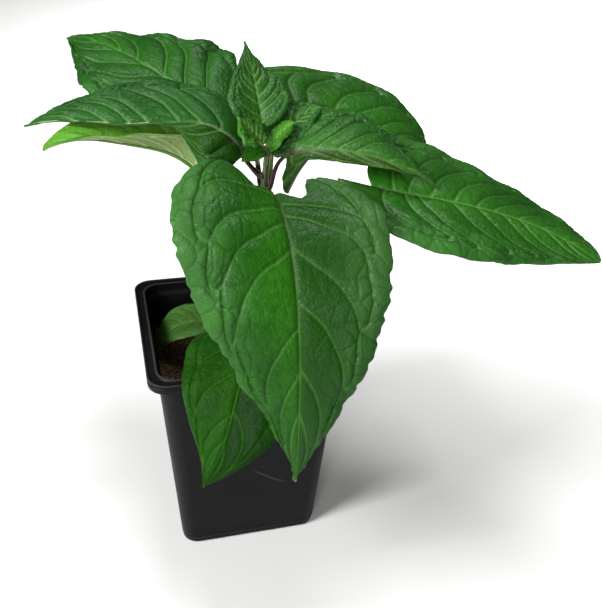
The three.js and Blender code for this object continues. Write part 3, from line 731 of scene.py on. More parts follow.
def leaf_piece(name, leaf, seed, step):
    """One leaf as a mesh object. Its quads are the upper side, the underside, the petiole and the
    margin's strip, in that order. Each point keeps the numbers that its colour is mixed from."""
    rows = int(leaf["length"] / step) + 1
    left, right = (half_leaf(leaf, side, rows, step, seed) for side in (0, 1))
    sheet, middle, channel, ridge, to_midrib, to_side_vein, to_net, to_rung, reach, t, second = (
        np.concatenate((a[:, :0:-1], b), axis=1) for a, b in zip(left, right))
    normal = surface_direction(sheet)
    thin = BLADE_THICKNESS * (1 - 0.65 * reach ** 6) / 2
    upper = sheet + normal * (middle + thin - channel)[..., None]
    under = sheet + normal * (middle - thin - ridge)[..., None]
    columns = sheet.shape[1]
    count = rows * columns
    top, bottom = grid_faces(rows, columns), grid_faces(rows, columns, count)[:, ::-1]
    grid = np.arange(count).reshape(rows, columns)
    rim = np.concatenate((grid[:, 0], grid[-1, 1:], grid[::-1, -1][1:], grid[0, ::-1][1:-1]))
    after = np.roll(rim, -1)
    strip = np.stack((rim, after, after + count, rim + count), -1)
    path, radii, share = petiole_path(leaf)
    sides = 12 if leaf["length"] > SMALL_LEAF else 8
    stalk, stalk_quads, stalk_caps = rod(path, radii, sides, first=2 * count)
    rib, net, flush = leaf_marks(leaf, step, to_midrib, to_side_vein, to_net, to_rung, reach, t)
    blank = np.zeros(len(stalk))
    values = {label: np.concatenate((amount.ravel(), amount.ravel(), blank)) for label, amount in (
        ("rib", rib), ("net", net), ("reach", reach), ("flush", flush), ("second", second))}
    values["along"] = np.concatenate((t.ravel(), t.ravel(), np.repeat(share, sides), share[[0, -1]]))
    values["under"] = np.concatenate((np.zeros(count), np.ones(count), blank))
    # The blade laid flat, which the pebbles of its skin follow.
    across = to_midrib * np.where(np.arange(columns) < left[0].shape[1] - 1, -1, 1)
    flat = np.stack((across + leaf["half_width"][0] + 5, t * leaf["length"]), -1).reshape(-1, 2)
    stalk_flat = np.stack((np.tile(np.arange(sides), len(path)), np.repeat(share * 40, sides)), -1)
    unfolded = np.vstack((flat, flat, stalk_flat, stalk_flat[:1], stalk_flat[-1:])) * MM
    quads = np.vstack((top, bottom, stalk_quads, strip))
    thing = make_piece(name, np.vstack((upper.reshape(-1, 3), under.reshape(-1, 3), stalk)), quads,
                       stalk_caps, values, unfolded, flat=len(strip))
    skin = np.zeros(len(thing.data.polygons), np.int32)
    skin[2 * len(top):2 * len(top) + len(stalk_quads)] = 1
    skin[len(quads):] = 1
    thing.data.polygons.foreach_set("material_index", skin)
    return thing


# %% [markdown]
# ## The leaf's skin
#
# The upper side of a chilli leaf has a waxy skin, smooth to the finger but finely pebbled, so it gives
# broad grey-green highlights. The veins are lighter than the blade. The blade is a warmer yellow green
# towards the midrib. Towards the margin it is paler and greyer, which is painted sheen, and its creases
# and the bands beside its side veins are darker, which is painted shade. The underside is paler and
# dull. The colour is mixed from the numbers that each point carries, and two scales of noise break it
# up. Noise scales are per metre.

# %% Leaf skin
def leaf_skin(name, green, deep, warm, vein, pale, painted_sheen=0.3, painted_crease_shade=0.38, lines=0.6, shine=0.15,
              roughness=0.37, blush="#3a2226", second="#143a08", painted_light_at_base=None):
    """Leaf blade, grown: waxy upper side, dull pale underside, lighter veins. Three numbers give how
    strong its painted sheen towards the margin, its painted shade in the creases and its pale veins are."""
    material, tree = blank_material(name)
    place = add(tree, "TexCoord").outputs["Object"]
    flat = add(tree, "UVMap", uv_map="unfolded")
    rib, net, reach, under, flush, other, along_leaf = (
        add(tree, "Attribute", attribute_name=label).outputs["Fac"]
        for label in ("rib", "net", "reach", "under", "flush", "second", "along"))
    # Clouds of colour 18 mm across, and a mottle of 2.4 mm.
    cloud = add(tree, "TexNoise", {"Scale": 55.0, "Detail": 3.0}, {"Vector": place})
    mottle = add(tree, "TexNoise", {"Scale": 420.0, "Detail": 2.0}, {"Vector": place})
    patch = add(tree, "MapRange", {"From Min": 0.35, "From Max": 0.65}, {"Value": cloud})
    blade = add(tree, "Mix", {MIX_A: deep, MIX_B: green}, {0: patch})
    inward = add(tree, "MapRange", {"From Max": 0.6, "To Min": 0.5, "To Max": 0.0},
                 {"Value": reach}, interpolation_type="SMOOTHSTEP")
    blade = add(tree, "Mix", {MIX_B: warm}, {0: inward, MIX_A: blade})
    speck = add(tree, "MapRange", {"From Min": 0.3, "From Max": 0.7, "To Min": 0.86, "To Max": 1.12},
                {"Value": mottle})
    blade = add(tree, "VectorMath", links={0: blade, 1: speck}, operation="MULTIPLY")
    # A half blade's painted shade, or on the strip under the left leaf its painted light, paler at its
    # base.
    painted_half_colour = add(tree, "Mix", {MIX_A: painted_light_at_base or second, MIX_B: second}, {0: along_leaf})
    blade = add(tree, "Mix", links={0: other, MIX_A: blade, MIX_B: painted_half_colour})
    outward = add(tree, "MapRange", {"From Min": 0.3, "From Max": 0.95, "To Max": painted_sheen},
                  {"Value": reach}, interpolation_type="SMOOTHSTEP")
    fading = add(tree, "MapRange", {"From Min": 0.25, "From Max": 0.75, "To Min": 1.0, "To Max": 0.1},
                 {"Value": along_leaf})
    painted_sheen_mask = add(tree, "Math", links={0: outward, 1: fading}, operation="MULTIPLY")
    # Painted sheen: a paler grey-green towards the margin, fading towards the tip.
    blade = add(tree, "Mix", {MIX_B: "#56884a"}, {0: painted_sheen_mask, MIX_A: blade})
    # Painted shade darkens the creases and the bands beside the side veins. The pale veins and the flush
    # at the base are their own colours.
    for amount, strength, tone in ((net, painted_crease_shade, "#0f3806"), (rib, lines, vein), (flush, 0.85, blush)):
        share = add(tree, "Math", {1: strength}, {0: amount}, operation="MULTIPLY")
        blade = add(tree, "Mix", {MIX_B: tone}, {0: share, MIX_A: blade})
    ridges = add(tree, "Math", {1: 1.3}, {0: rib}, operation="MULTIPLY", use_clamp=True)
    below = add(tree, "Mix", {MIX_A: pale, MIX_B: "#bccb98"}, {0: ridges})
    skin = add(tree, "Mix", links={0: under, MIX_A: blade, MIX_B: below})
    # Pebbles 0.9 mm across: the skin's cells stand in small domed groups.
    pebbles = add(tree, "TexVoronoi", {"Scale": 1000 / 0.9, "Randomness": 0.9}, {"Vector": flat})
    grain = add(tree, "TexNoise", {"Scale": 1000 / 1.8, "Detail": 3.0}, {"Vector": flat})
    height = add(tree, "Math", {1: -0.5}, {0: pebbles, 2: grain}, operation="MULTIPLY_ADD")
    bump = add(tree, "Bump", {"Strength": 0.9, "Distance": 0.0003}, {"Height": height})
    gloss = add(tree, "MapRange", {"From Min": 0.3, "From Max": 0.7, "To Min": roughness - 0.05,
                                   "To Max": roughness + 0.08}, {"Value": cloud})
    dull = add(tree, "Math", {1: 0.25}, {0: under}, operation="MULTIPLY")
    rough = add(tree, "Math", links={0: gloss, 1: dull}, operation="ADD")
    shader = add(tree, "BsdfPrincipled", {"IOR": 1.45, "Specular IOR Level": shine},
                 {"Base Color": skin, "Roughness": rough, "Normal": bump})
    add(tree, "OutputMaterial", links={"Surface": shader})
    return material


# %% Stalk skin
def stalk_skin(name, purple, green, far, mixing=0.62, onto=None):
    """Petiole and midrib skin, grown: smooth, streaked with purple and green. far is its colour along
    the midrib, and onto a paler patch where it runs on to the blade."""
    material, tree = blank_material(name)
    place = add(tree, "TexCoord").outputs["Object"]
    share = add(tree, "Attribute", attribute_name="along").outputs["Fac"]
    # Streaks 4 mm across.
    streaks = add(tree, "TexNoise", {"Scale": 260.0, "Detail": 3.0}, {"Vector": place})
    patch = add(tree, "MapRange", {"From Min": mixing - 0.15, "From Max": mixing + 0.15},
                {"Value": streaks})
    skin = add(tree, "Mix", {MIX_A: purple, MIX_B: green}, {0: patch})
    onward = add(tree, "MapRange", {"From Min": 0.95, "From Max": 1.3}, {"Value": share})
    skin = add(tree, "Mix", {MIX_B: far}, {0: onward, MIX_A: skin})
    if onto:
        hump = add(tree, "Math", {1: 1.09, 2: 0.1}, {0: share}, operation="COMPARE")
        skin = add(tree, "Mix", {MIX_B: onto}, {0: hump, MIX_A: skin})
    bump = add(tree, "Bump", {"Strength": 0.4, "Distance": 0.0001}, {"Height": streaks})
    shader = add(tree, "BsdfPrincipled", {"Roughness": 0.4, "IOR": 1.45, "Specular IOR Level": 0.25},
                 {"Base Color": skin, "Normal": bump})
    add(tree, "OutputMaterial", links={"Surface": shader})
    return material


# %% The skins of the leaves and their stalks
# Each leaf skin's colours: the blade's green, its darker patches, near the midrib, veins, underside.
# A skin's second colour is painted shade on a half blade, and on bright_leaf painted light, paler at the
# base.
grown_leaf = leaf_skin("grown_leaf_skin", "#1f550d", "#134206", "#2d6b11", "#558a3a", "#64804a",
                       painted_sheen=0.27, painted_crease_shade=0.5, lines=0.45)
# The shaded skin's darker greens are painted shade, for leaves that hang in shadow.
shaded_leaf = leaf_skin("shaded_leaf_skin", "#1d4c0a", "#123604", "#1d4a06", "#356619", "#56713f",
                        painted_sheen=0.0, painted_crease_shade=0.5, lines=0.5, shine=0.06, roughness=0.4, second="#0a2a01")
broad_leaf = leaf_skin("broad_leaf_skin", "#245c13", "#184909", "#2c6a14", "#6a9c50", "#5c7845",
                       painted_sheen=0.24, painted_crease_shade=0.6, lines=0.55, shine=0.22)
back_leaf = leaf_skin("back_leaf_skin", "#205614", "#123e08", "#286213", "#5a9440", "#5c7845",
                      painted_sheen=0.12, painted_crease_shade=0.5, lines=0.65, shine=0.22)
young_leaf = leaf_skin("young_leaf_skin", "#285b1d", "#1d4a13", "#33691d", "#6c9450", "#6d8a52",
                       painted_sheen=0.06, painted_crease_shade=0.4, lines=0.7, shine=0.22, second="#213f04")
tip_leaf = leaf_skin("tip_leaf_skin", "#387617", "#24590d", "#47861a", "#93b968", "#7b9858",
                     painted_sheen=0.1, painted_crease_shade=0.3, lines=0.5)
bright_leaf = leaf_skin("bright_leaf_skin", "#3d7a18", "#2e6611", "#4c8c1c", "#7fa552", "#7a9158",
                        painted_sheen=0.1, painted_crease_shade=0.2, second="#498622", painted_light_at_base="#7dbb42")
left_leaf = leaf_skin("left_leaf_skin", "#1b4c16", "#113a0a", "#205611", "#5f9a4a", "#5c7845",
                      painted_sheen=0.08, painted_crease_shade=0.5, lines=0.65, blush="#a09a86", second="#183f04")
low_leaf = leaf_skin("low_leaf_skin", "#395c25", "#2c4a1b", "#3c6026", "#5b7c3e", "#667d4b",
                     painted_crease_shade=0.2, lines=0.35, shine=0.08)
purple_stalk = stalk_skin("purple_stalk_skin", "#2f181d", "#3b3426", far="#5c7d40")
left_stalk = stalk_skin("left_stalk_skin", "#2f181d", "#3b3426", far="#35622c", onto="#7d7068")
young_stalk = stalk_skin("young_stalk_skin", "#2f181d", "#3b3426", far="#3f6e2c")
green_stalk = stalk_skin("green_stalk_skin", "#55522f", "#4f6c2a", far="#5f8243", mixing=0.4)
print("nine leaf skins, such as", grown_leaf.name, "and four stalk skins, such as", purple_stalk.name)

# %% All the leaves
# For each leaf: its skin, its stalk's skin, its slot, and the size of its grid's steps in mm. Each
# draws its random numbers from seeds of its own.
FIRST_SEED, SEED_STEP = 100, 20
FINISH = {
    "leaf_front": (grown_leaf, purple_stalk, "leaf_blade", 0.48),
    "leaf_low_front": (shaded_leaf, green_stalk, "leaf_blade", 0.56),
    "leaf_low_left": (low_leaf, green_stalk, "young_leaf_blade", 0.45),
    "leaf_left": (left_leaf, left_stalk, "leaf_blade", 0.54),
    "leaf_left_back": (back_leaf, purple_stalk, "leaf_blade", 0.57),
    "leaf_left_under": (bright_leaf, green_stalk, "leaf_blade", 0.42),
    "leaf_centre": (young_leaf, green_stalk, "young_leaf_blade", 0.3),
    "leaf_right_back": (broad_leaf, green_stalk, "leaf_blade", 0.55),
    "leaf_right_young": (young_leaf, young_stalk, "leaf_blade", 0.42),
    "leaf_right": (broad_leaf, purple_stalk, "leaf_blade", 0.52),
    "leaf_tip_left": (tip_leaf, green_stalk, "young_leaf_blade", 0.22),
    "leaf_tip_under": (shaded_leaf, green_stalk, "young_leaf_blade", 0.22),
    "leaf_tip_bright": (bright_leaf, green_stalk, "young_leaf_blade", 0.22),
    "leaf_tip_right": (young_leaf, green_stalk, "young_leaf_blade", 0.25),
}
total = 0
for number, (name, leaf) in enumerate(LEAVES.items()):
    blade_skin, stalk, slot, step = FINISH[name]
    thing = leaf_piece("chilli_" + name, leaf, FIRST_SEED + SEED_STEP * number, step)
    finish_piece(thing, (blade_skin, stalk), name)
    total += triangle_count(thing)
    print(f"{thing.name}: {triangle_count(thing)} triangles")
print("leaves together:", total, "triangles")

# %% [markdown]
# ## The stem
#
# The stem of a young chilli is soft and green, faintly ribbed, a little swollen at each node where a
# leaf stalk leaves it, and brown and corky where it enters the compost. It is a rod whose radius also
# changes round it, by a small sine with five crests.

# %% Stem
STEM_RINGS, STEM_SIDES, CRESTS = 260, 40, 5
heights = np.linspace(STEM_POINTS[0, 2], STEM_POINTS[-1, 2], STEM_RINGS)
nodes_at = np.array([leaf["petiole"][0] for leaf in LEAVES.values()], float)
swelling = 0.14 * bell(heights[:, None] - nodes_at[None, :], 1.6).max(1)
turn = np.arange(STEM_SIDES) / STEM_SIDES * 2 * np.pi
crests = 1 + 0.05 * np.sin(CRESTS * turn[None, :] + 0.01 * heights[:, None])
knobs = 0.04 * smooth_noise(heights[:, None] + 100, turn[None, :] * 3, 2.5, 11)
stem_radii = stem_radius(heights)[:, None] * (crests + swelling[:, None] + knobs)
stem_points, stem_quads, stem_caps = rod(stem_place(heights), stem_radii, STEM_SIDES)
stem_share = np.concatenate((np.repeat(heights, STEM_SIDES), heights[[0, -1]])) / 200
stem = make_piece("chilli_stem", stem_points, stem_quads, stem_caps, {"height": stem_share})

stem_skin, tree = blank_material("stem_skin")
place = add(tree, "TexCoord").outputs["Object"]
share = add(tree, "Attribute", attribute_name="height").outputs["Fac"]
# Bark fibres 1 mm wide and eight times as long.
stretch = add(tree, "Mapping", {"Scale": (1.0, 1.0, 0.12)}, {"Vector": place})
fibres = add(tree, "TexNoise", {"Scale": 900.0, "Detail": 4.0}, {"Vector": stretch})
patch = add(tree, "MapRange", {"From Min": 0.4, "From Max": 0.65}, {"Value": fibres})
green = add(tree, "Mix", {MIX_A: "#4a5a2c", MIX_B: "#34481f"}, {0: patch})
bark = add(tree, "MapRange", {"From Min": 0.43, "From Max": 0.56, "To Min": 1.0, "To Max": 0.0},
           {"Value": share})
skin = add(tree, "Mix", {MIX_B: "#6a573c"}, {0: bark, MIX_A: green})
bump = add(tree, "Bump", {"Strength": 0.5, "Distance": 0.0002}, {"Height": fibres})
shader = add(tree, "BsdfPrincipled", {"Roughness": 0.5, "IOR": 1.45},
             {"Base Color": skin, "Normal": bump})
add(tree, "OutputMaterial", links={"Surface": shader})
finish_piece(stem, (stem_skin,), "stem")
print("stem:", triangle_count(stem), "triangles")

# %% [markdown]
# ## The pot
#
# The pot is a thin box moulded in black polypropylene: square with round corners, narrower at the
# base, with a rim that is turned outwards and down into a short skirt. Its section is one line, up the
# outside, over the rim and down the inside. Carried round a rounded square, that line gives the whole
# pot. Every sharp turn of the line gets a small round, because moulded edges are never sharp and the
# rounds are what shines.

# %% Section of the pot carried round a rounded square
POT = dict(height=107, rim=90, skirt=4.4, body_top=80.3, base=65.6, wall=1.1, floor=1.6, ledge=6,
           corner=8.5, tightening=0.12, drain_radius=3.2, drain_inset=11)


def body_half(z):
    """Half the outside width of the tapered body at height z: a straight line from base to ledge."""
    return POT["base"] / 2 + (POT["body_top"] - POT["base"]) / 2 * z / (POT["height"] - POT["ledge"])


def rounded(corners, steps=5):
    """A line through corners, each given by its place and the radius of its round: a parabola from one
    side of the corner to the other. Between the ends, a corner of radius 0 only steers its neighbours."""
    corners = np.array(corners, float)
    places = [corners[0, :2]]
    for before, (x, z, radius), after in zip(corners[:, :2], corners[1:], corners[2:, :2]):
        if radius:
            corner = np.array((x, z))
            into, out = corner - before, after - corner
            reach = min(radius, 0.45 * np.linalg.norm(into), 0.45 * np.linalg.norm(out))
            a, b = corner - unit(into) * reach, corner + unit(out) * reach
            f = np.linspace(0, 1, steps)[:, None]
            places.extend((1 - f) ** 2 * a + 2 * f * (1 - f) * corner + f ** 2 * b)
    return np.array(places + [corners[-1, :2]])


def square_ring(half, radius, z, per_corner=14, per_side=16):
    """Rings of a rounded square, one for each half width, corner radius and height: the arc round each
    corner, and then the straight side from its end to where the next corner's arc starts."""
    half, radius, z = (np.asarray(a, float)[:, None] for a in (half, radius, z))
    radius = np.minimum(radius, half)
    f = np.arange(1, per_side)[:, None] / per_side

    def on_arc(side, angle):
        """Places on the arc of one of the four corners."""
        diagonal = (side + 0.5) * np.pi / 2
        return np.stack([np.sign(wave(diagonal)) * (half - radius) + radius * wave(angle)
                         for wave in (np.cos, np.sin)], -1)

    parts = []
    for side in range(4):
        arc = on_arc(side, (side + np.arange(per_corner + 1) / per_corner) * np.pi / 2)
        following = on_arc(side + 1, np.array([(side + 1) * np.pi / 2]))
        parts += [arc, arc[:, -1:] * (1 - f) + following * f]
    flat = np.concatenate(parts, 1)
    return np.concatenate((flat, z[..., None] + 0 * flat[..., :1]), -1)


top, rim = POT["height"], POT["rim"] / 2
ledge, body_top, wall = top - POT["ledge"], POT["body_top"] / 2, POT["wall"]
skirt = top - POT["skirt"]
section = rounded([
    # the underside and the foot
    (0.5, 0.5, 0), (body_half(0) - 5, 0.5, 0.5), (body_half(0) - 4, 0, 0.6), (body_half(0), 0, 1.4),
    (body_half(3), 3, 0.8), (body_half(3.4) + 0.25, 3.6, 0.5),
    # the outer wall, the ledge and the space behind the skirt
    (body_half(ledge) - 0.1, ledge - 2, 1), (body_top, ledge, 0.5), (body_top + wall, ledge + 1.1, 0.5),
    (body_top + wall, top - 1.5, 0.3), (rim - 1.5, top - 1.5, 0.3),
    # the skirt and the rim with its two lips
    (rim - 1.4, skirt, 0.3), (rim - 0.2, skirt, 0.3), (rim, top - 2.0, 0.4), (rim - 0.4, top - 1.6, 0.3),
    (rim, top - 1.2, 0.3), (rim, top, 0.5), (rim - 0.6, top, 0.4), (rim - 1.0, top - 0.8, 0.3),
    (body_top + 1.3, top - 0.8, 0.3), (body_top + 0.9, top, 0.4), (body_top + 0.1, top - 0.1, 0.4),
    # the inside, down to the floor under the compost
    (body_top, top - 1.3, 0.5), (body_top - 0.1, ledge + 1.5, 0.6), (body_top - wall, ledge, 1),
    (body_half(4) - wall, 3.6, 1), (body_half(2) - wall - 1.5, POT["floor"], 0), (0.5, POT["floor"], 0)])
corner = POT["corner"] - (rim - section[:, 0]) * POT["tightening"]
rings = square_ring(section[:, 0], corner, section[:, 1])
middles = np.array([(0, 0, section[0, 1]), (0, 0, section[-1, 1])])
pot = make_piece("square_nursery_pot", *closed_rings(rings, *middles))
print("pot before its drain holes:", triangle_count(pot), "triangles")

# %% Drain holes, cut through the floor
drain = POT["base"] / 2 - POT["drain_inset"]
holes, first = [], 0
for x, y in ((drain, drain), (-drain, drain), (-drain, -drain), (drain, -drain)):
    line = np.array([(x, y, z) for z in (-2.0, 1.0, 5.0)])
    holes.append(rod(line, np.full(3, POT["drain_radius"]), 32, first))
    first += len(holes[-1][0])
cutter = make_piece("drain_cutter", *(np.vstack(part) for part in zip(*holes)))
cut = pot.modifiers.new("drain_holes", "BOOLEAN")
cut.operation, cut.solver, cut.object = "DIFFERENCE", "EXACT", cutter
view_layer = bpy.context.evaluated_depsgraph_get()
pot.data = bpy.data.meshes.new_from_object(pot.evaluated_get(view_layer))
pot.modifiers.clear()
bpy.data.objects.remove(cutter)
print("pot:", triangle_count(pot), "triangles")

# %% [markdown]
# ## Moulded plastic
#
# Black polypropylene from a mould has a satin skin with a faint ripple, and a pot that has stood in a
# nursery is dusty and scuffed: fine pale scratches that run any way, small chips, and a grey film of
# dried splashes in patches. All of it comes from noise on Object coordinates, so it stays put.

# %% Pot material
pot_plastic, tree = blank_material("moulded_polypropylene")
place = add(tree, "TexCoord").outputs["Object"]
# A ripple of 17 mm from the mould, grit of 0.6 mm, and dust in patches of 26 mm.
ripple = add(tree, "TexNoise", {"Scale": 60.0, "Detail": 2.0}, {"Vector": place})
grit = add(tree, "TexNoise", {"Scale": 1800.0, "Detail": 3.0}, {"Vector": place})
dust = add(tree, "TexNoise", {"Scale": 38.0, "Detail": 8.0, "Roughness": 0.65}, {"Vector": place})
dusty = add(tree, "MapRange", {"From Min": 0.45, "From Max": 0.8, "To Max": 0.25}, {"Value": dust})
plain = add(tree, "Mix", {MIX_A: "#090a0c", MIX_B: "#1c1c1c"}, {0: dusty})
# Specks: the middles of 5 mm cells, most of them left out by a threshold on each cell's own number.
cells = add(tree, "TexVoronoi", {"Scale": 1000 / 5.0}, {"Vector": place})
small = add(tree, "MapRange", {"From Min": 0.05, "From Max": 0.09, "To Min": 1.0, "To Max": 0.0},
            {"Value": cells})
own = add(tree, "SeparateColor", links={0: cells.outputs["Color"]})
chosen = add(tree, "Math", {1: 0.86}, {0: own}, operation="GREATER_THAN")
specks = add(tree, "Math", links={0: small, 1: chosen}, operation="MULTIPLY")
# Scratches: a wave whose lines are far apart, bent by noise and kept only in patches.
tilted = add(tree, "Mapping", {"Rotation": (0.2, 0.9, 0.4)}, {"Vector": place})
lines = add(tree, "TexWave", {"Scale": 9.0, "Distortion": 6.0, "Detail": 2.0, "Detail Scale": 1.5},
            {"Vector": tilted})
sharp = add(tree, "MapRange", {"From Min": 0.994, "From Max": 0.999}, {"Value": lines.outputs["Fac"]})
patches = add(tree, "TexNoise", {"Scale": 30.0, "Detail": 1.0}, {"Vector": tilted})
kept = add(tree, "MapRange", {"From Min": 0.66, "From Max": 0.74}, {"Value": patches})
scratches = add(tree, "Math", links={0: sharp, 1: kept}, operation="MULTIPLY")
marks = add(tree, "Math", links={0: specks, 1: scratches}, operation="MAXIMUM")
some = add(tree, "Math", {1: 0.09}, {0: marks}, operation="MULTIPLY")
skin = add(tree, "Mix", {MIX_B: "#8b8b88"}, {0: some, MIX_A: plain})
# The top 0.3 mm, the crests of the rim's two lips, is lighter: painted highlights along the lips, and
# some wear.
height_above = add(tree, "SeparateXYZ", links={0: place}).outputs["Z"]
painted_rim_highlight = add(tree, "MapRange", {"From Min": 0.1066, "From Max": 0.1069, "To Max": 0.3},
            {"Value": height_above})
skin = add(tree, "Mix", {MIX_B: "#5f5650"}, {0: painted_rim_highlight, MIX_A: skin})
# The lowest 5 to 11 mm are darker, their upper edge made uneven by the dust noise.
dark_foot_height = add(tree, "Math", {1: 0.03}, {0: dust, 2: height_above}, operation="MULTIPLY_ADD")
foot = add(tree, "MapRange", {"From Min": 0.02, "From Max": 0.026, "To Min": 0.35},
           {"Value": dark_foot_height})
skin = add(tree, "Mix", {MIX_A: "#000000"}, {0: foot, MIX_B: skin})
rough = add(tree, "MapRange", {"From Min": 0.3, "From Max": 0.75, "To Min": 0.34, "To Max": 0.55},
            {"Value": dust})
height = add(tree, "Math", {1: 0.06}, {0: grit, 2: ripple}, operation="MULTIPLY_ADD")
bump = add(tree, "Bump", {"Strength": 0.5, "Distance": 0.0006}, {"Height": height})
shader = add(tree, "BsdfPrincipled", {"IOR": 1.49, "Specular IOR Level": 0.12},
             {"Base Color": skin, "Roughness": rough, "Normal": bump})
add(tree, "OutputMaterial", links={"Surface": shader})
finish_piece(pot, (pot_plastic,), "pot")

# %% [markdown]
# ## Compost
#
# Potting compost is dark peat and bark: clods and crumbs from dust to two or three millimetres, with a
# few fibres. Its top is a height over the pot's inside, made of several sizes of noise added up. On it
# lie some 2,600 small stones and crumbs, each an icosahedron with its corners pushed about, and thin
# fibres. All are in the one piece.

# %% Compost block
COMPOST_TOP = 84.3  # mm
CLODS = ((0.9, 14, 1), (0.6, 5, 2), (0.35, 2, 3))  # height, size and seed of each noise
STEM_FOOT, FOOT_CLEAR = STEM_POINTS[1, :2], 3.6  # no crumb lies nearer to the stem than this


def from_stem(x, y):
    """Level distance in mm from the foot of the stem."""
    return np.hypot(x - STEM_FOOT[0], y - STEM_FOOT[1])


def compost_height(x, y):
    """Height of the compost's top in mm: noise of three sizes added up, and a mound at the stem."""
    height = COMPOST_TOP
    for rising, size, seed in CLODS:
        height = height + rising * smooth_noise(x + 300, y + 300, size, seed)
    return height + 1.4 * bell(from_stem(x, y), 7)


AIR = 0.35  # mm between the compost and the pot
inside = lambda z: body_half(z) - wall - AIR
low = POT["floor"] + AIR
COMPOST_RINGS = 64
share = np.linspace(1, 0.012, COMPOST_RINGS)
halves = np.concatenate(([0.5, inside(low) - 3, inside(low + 3)], inside(COMPOST_TOP - 1) * share))
levels = np.concatenate(([low, low, low + 3], np.full(COMPOST_RINGS, COMPOST_TOP)))
corners_at = np.concatenate(([0.5, 4, 5.5], 7 * share))
block = square_ring(halves, corners_at, levels, per_corner=10, per_side=34)
top_part = block[3:]
top_part[..., 2] = compost_height(top_part[..., 0], top_part[..., 1])
block_points, block_quads, block_caps = closed_rings(
    block, (0, 0, low), (0, 0, compost_height(0, 0)))
print("compost block:", len(block_quads), "faces")


# %% Crumbs and fibres on the compost
def icosahedron():
    """Corners and faces of an icosahedron, from three golden rectangles."""
    g = (1 + 5 ** 0.5) / 2
    corners = [(-1, g, 0), (1, g, 0), (-1, -g, 0), (1, -g, 0), (0, -1, g), (0, 1, g), (0, -1, -g),
               (0, 1, -g), (g, 0, -1), (g, 0, 1), (-g, 0, -1), (-g, 0, 1)]
    faces = [(0, 11, 5), (0, 5, 1), (0, 1, 7), (0, 7, 10), (0, 10, 11), (1, 5, 9), (5, 11, 4),
             (11, 10, 2), (10, 7, 6), (7, 1, 8), (3, 9, 4), (3, 4, 2), (3, 2, 6), (3, 6, 8), (3, 8, 9),
             (4, 9, 5), (2, 4, 11), (6, 2, 10), (8, 6, 7), (9, 8, 1)]
    return np.array(corners) / np.hypot(1, g), np.array(faces)


CRUMBS, FIBRES, FIBRE_POINTS = 2600, 150, 8
draw = np.random.default_rng(17)
corners, faces = icosahedron()
reach = inside(COMPOST_TOP) - 1.2
where = draw.uniform(-reach, reach, (CRUMBS, 2))
where = where[from_stem(*where.T) > FOOT_CLEAR]
size = np.clip(draw.lognormal(-0.25, 0.5, len(where)), 0.35, 2.3) * 0.75
shape = draw.uniform(0.55, 1.25, (len(where), 1, 3)) * draw.uniform(0.72, 1.2, (len(where), 12, 1))
spin = draw.normal(size=(len(where), 3, 3))
spin = np.linalg.qr(spin)[0]
spin[np.linalg.det(spin) < 0, 0] *= -1
crumbs = np.einsum("nvk,nkm->nvm", corners[None] * shape * size[:, None, None], spin)
crumbs[..., 2] *= 0.8
crumbs[..., :2] += where[:, None]
crumbs[..., 2] += (compost_height(where[:, 0], where[:, 1]) + 0.3 * size)[:, None]
crumb_faces = (faces[None] + 12 * np.arange(len(where))[:, None, None]).reshape(-1, 3)

fibres, first = [], len(block_points) + crumbs.size // 3
for _ in range(FIBRES):
    start = draw.uniform(-reach + 3, reach - 3, 2)
    heading, turning = draw.uniform(0, 2 * np.pi), draw.normal(0, 0.25)
    bend = heading + turning * np.arange(FIBRE_POINTS)
    flat = start + np.cumsum(np.stack((np.cos(bend), np.sin(bend)), -1) * draw.uniform(0.5, 1.3), 0)
    flat = np.clip(flat, -reach, reach)
    line = np.column_stack((flat, compost_height(flat[:, 0], flat[:, 1]) + 0.35 + 0.3 * draw.random()))
    fibres.append(rod(line, np.full(FIBRE_POINTS, draw.uniform(0.1, 0.2)), 5, first))
    first += len(fibres[-1][0])
fibre_points, fibre_quads, fibre_caps = (np.vstack(part) for part in zip(*fibres))
all_points = np.vstack((block_points, crumbs.reshape(-1, 3), fibre_points))
kind = np.concatenate((np.zeros(len(block_points)), np.repeat(draw.uniform(0.2, 0.8, len(where)), 12),
                       np.ones(len(fibre_points))))
triangles = np.vstack((block_caps, crumb_faces + len(block_points), fibre_caps))
compost = make_piece("potting_compost", all_points, np.vstack((block_quads, fibre_quads)), triangles,
                     {"crumb": kind})
smooth = np.ones(len(compost.data.polygons), bool)
smooth[-len(crumb_faces) - len(fibre_caps):] = False
compost.data.polygons.foreach_set("use_smooth", smooth)
print("compost:", len(where), "crumbs,", triangle_count(compost), "triangles")

# %% Compost material
compost_mix, tree = blank_material("peat_and_bark_compost")
place = add(tree, "TexCoord").outputs["Object"]
crumb = add(tree, "Attribute", attribute_name="crumb").outputs["Fac"]
# Grains of 1 mm.
fine = add(tree, "TexNoise", {"Scale": 900.0, "Detail": 5.0, "Roughness": 0.7}, {"Vector": place})
dark = add(tree, "Mix", {MIX_A: "#443527", MIX_B: "#655141"}, {0: fine})
tone = add(tree, "MapRange", {"From Min": 0.3, "To Max": 0.8}, {"Value": crumb})
skin = add(tree, "Mix", {MIX_B: "#8d7158"}, {0: tone, MIX_A: dark})
bump = add(tree, "Bump", {"Strength": 1.0, "Distance": 0.0006}, {"Height": fine})
shader = add(tree, "BsdfPrincipled", {"Roughness": 0.88, "IOR": 1.45, "Specular IOR Level": 0.3},
             {"Base Color": skin, "Normal": bump})
add(tree, "OutputMaterial", links={"Surface": shader})
finish_piece(compost, (compost_mix,), "compost")

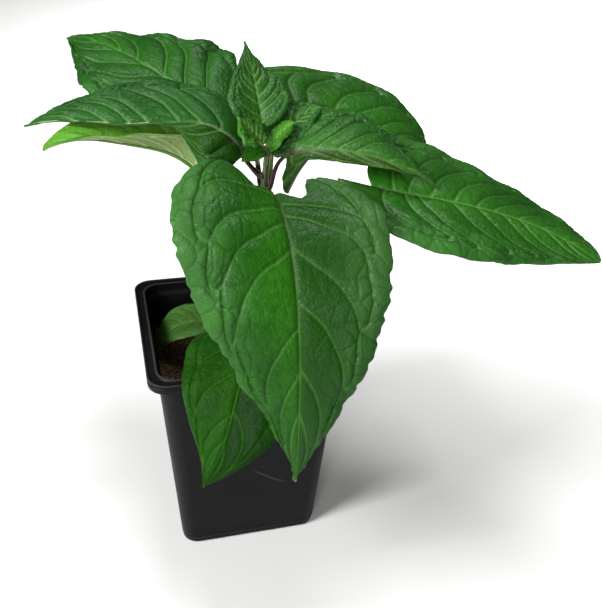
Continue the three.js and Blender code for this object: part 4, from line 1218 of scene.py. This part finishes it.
# %% [markdown]
# ## Floor and light
#
# The plant stands on a plain pale floor in soft studio light. The main softbox stands high on the left
# and puts the broad pale highlights on the waxy leaves; a weaker one hangs above. One in front reaches
# in under the leaves, which would be too dark without it. A fourth lights only the floor behind. It
# faces away from the plant: a lamp that shone forward from behind would lie on every grazing leaf as a
# grey haze. A pale sky round everything keeps the shadows soft.

# %% Floor, softboxes and sky
HALF, DOWN = 4.0, -0.0003  # metres: half the floor's side, and how far it lies under the pot
floor_mesh = bpy.data.meshes.new("studio_floor")
corners = [(-HALF, -HALF, DOWN), (HALF, -HALF, DOWN), (HALF, HALF, DOWN), (-HALF, HALF, DOWN)]
floor_mesh.from_pydata(corners, [], [(0, 1, 2, 3)])
floor = bpy.data.objects.new("studio_floor", floor_mesh)
bpy.context.scene.collection.objects.link(floor)
paper, tree = blank_material("white_studio_paper")
shader = add(tree, "BsdfPrincipled", {"Base Color": "#ececea", "Roughness": 0.9})
add(tree, "OutputMaterial", links={"Surface": shader})
floor_mesh.materials.append(paper)


def softbox(name, place, aim, size, power):
    """A square area light at a place, turned to face its aim, in metres and watts."""
    lamp = bpy.data.lights.new(name, "AREA")
    lamp.shape, lamp.size, lamp.energy = "SQUARE", size, power
    box = bpy.data.objects.new(name, lamp)
    back = unit(np.array(place, float) - aim)
    side = unit(np.cross((0, 0, 1), back) if abs(back[2]) < 0.99 else np.array((1.0, 0, 0)))
    turn = np.eye(4)
    turn[:3, 0], turn[:3, 1], turn[:3, 2], turn[:3, 3] = side, np.cross(back, side), back, place
    box.matrix_world = Matrix(turn.tolist())
    bpy.context.scene.collection.objects.link(box)


softbox("softbox_left", (-1.0, -0.45, 0.85), (0.02, 0, 0.15), 0.4, 22)
softbox("softbox_above", (0.1, 0.1, 1.4), (0.02, 0, 0.15), 0.4, 10)
softbox("softbox_front", (-0.45, -1.1, 0.55), (0, 0, 0.17), 0.4, 6)
softbox("softbox_backdrop", (0.45, 0.45, 1.0), (1.15, 1.05, 0.5), 0.8, 45)
sky = bpy.data.worlds.new("studio_sky")
sky.use_nodes = True
sky.node_tree.nodes["Background"].inputs["Color"].default_value = colour("#f7f9fb")
sky.node_tree.nodes["Background"].inputs["Strength"].default_value = 0.13
bpy.context.scene.world = sky
bpy.context.scene.view_settings.view_transform = "Standard"
print("four softboxes and a pale sky")
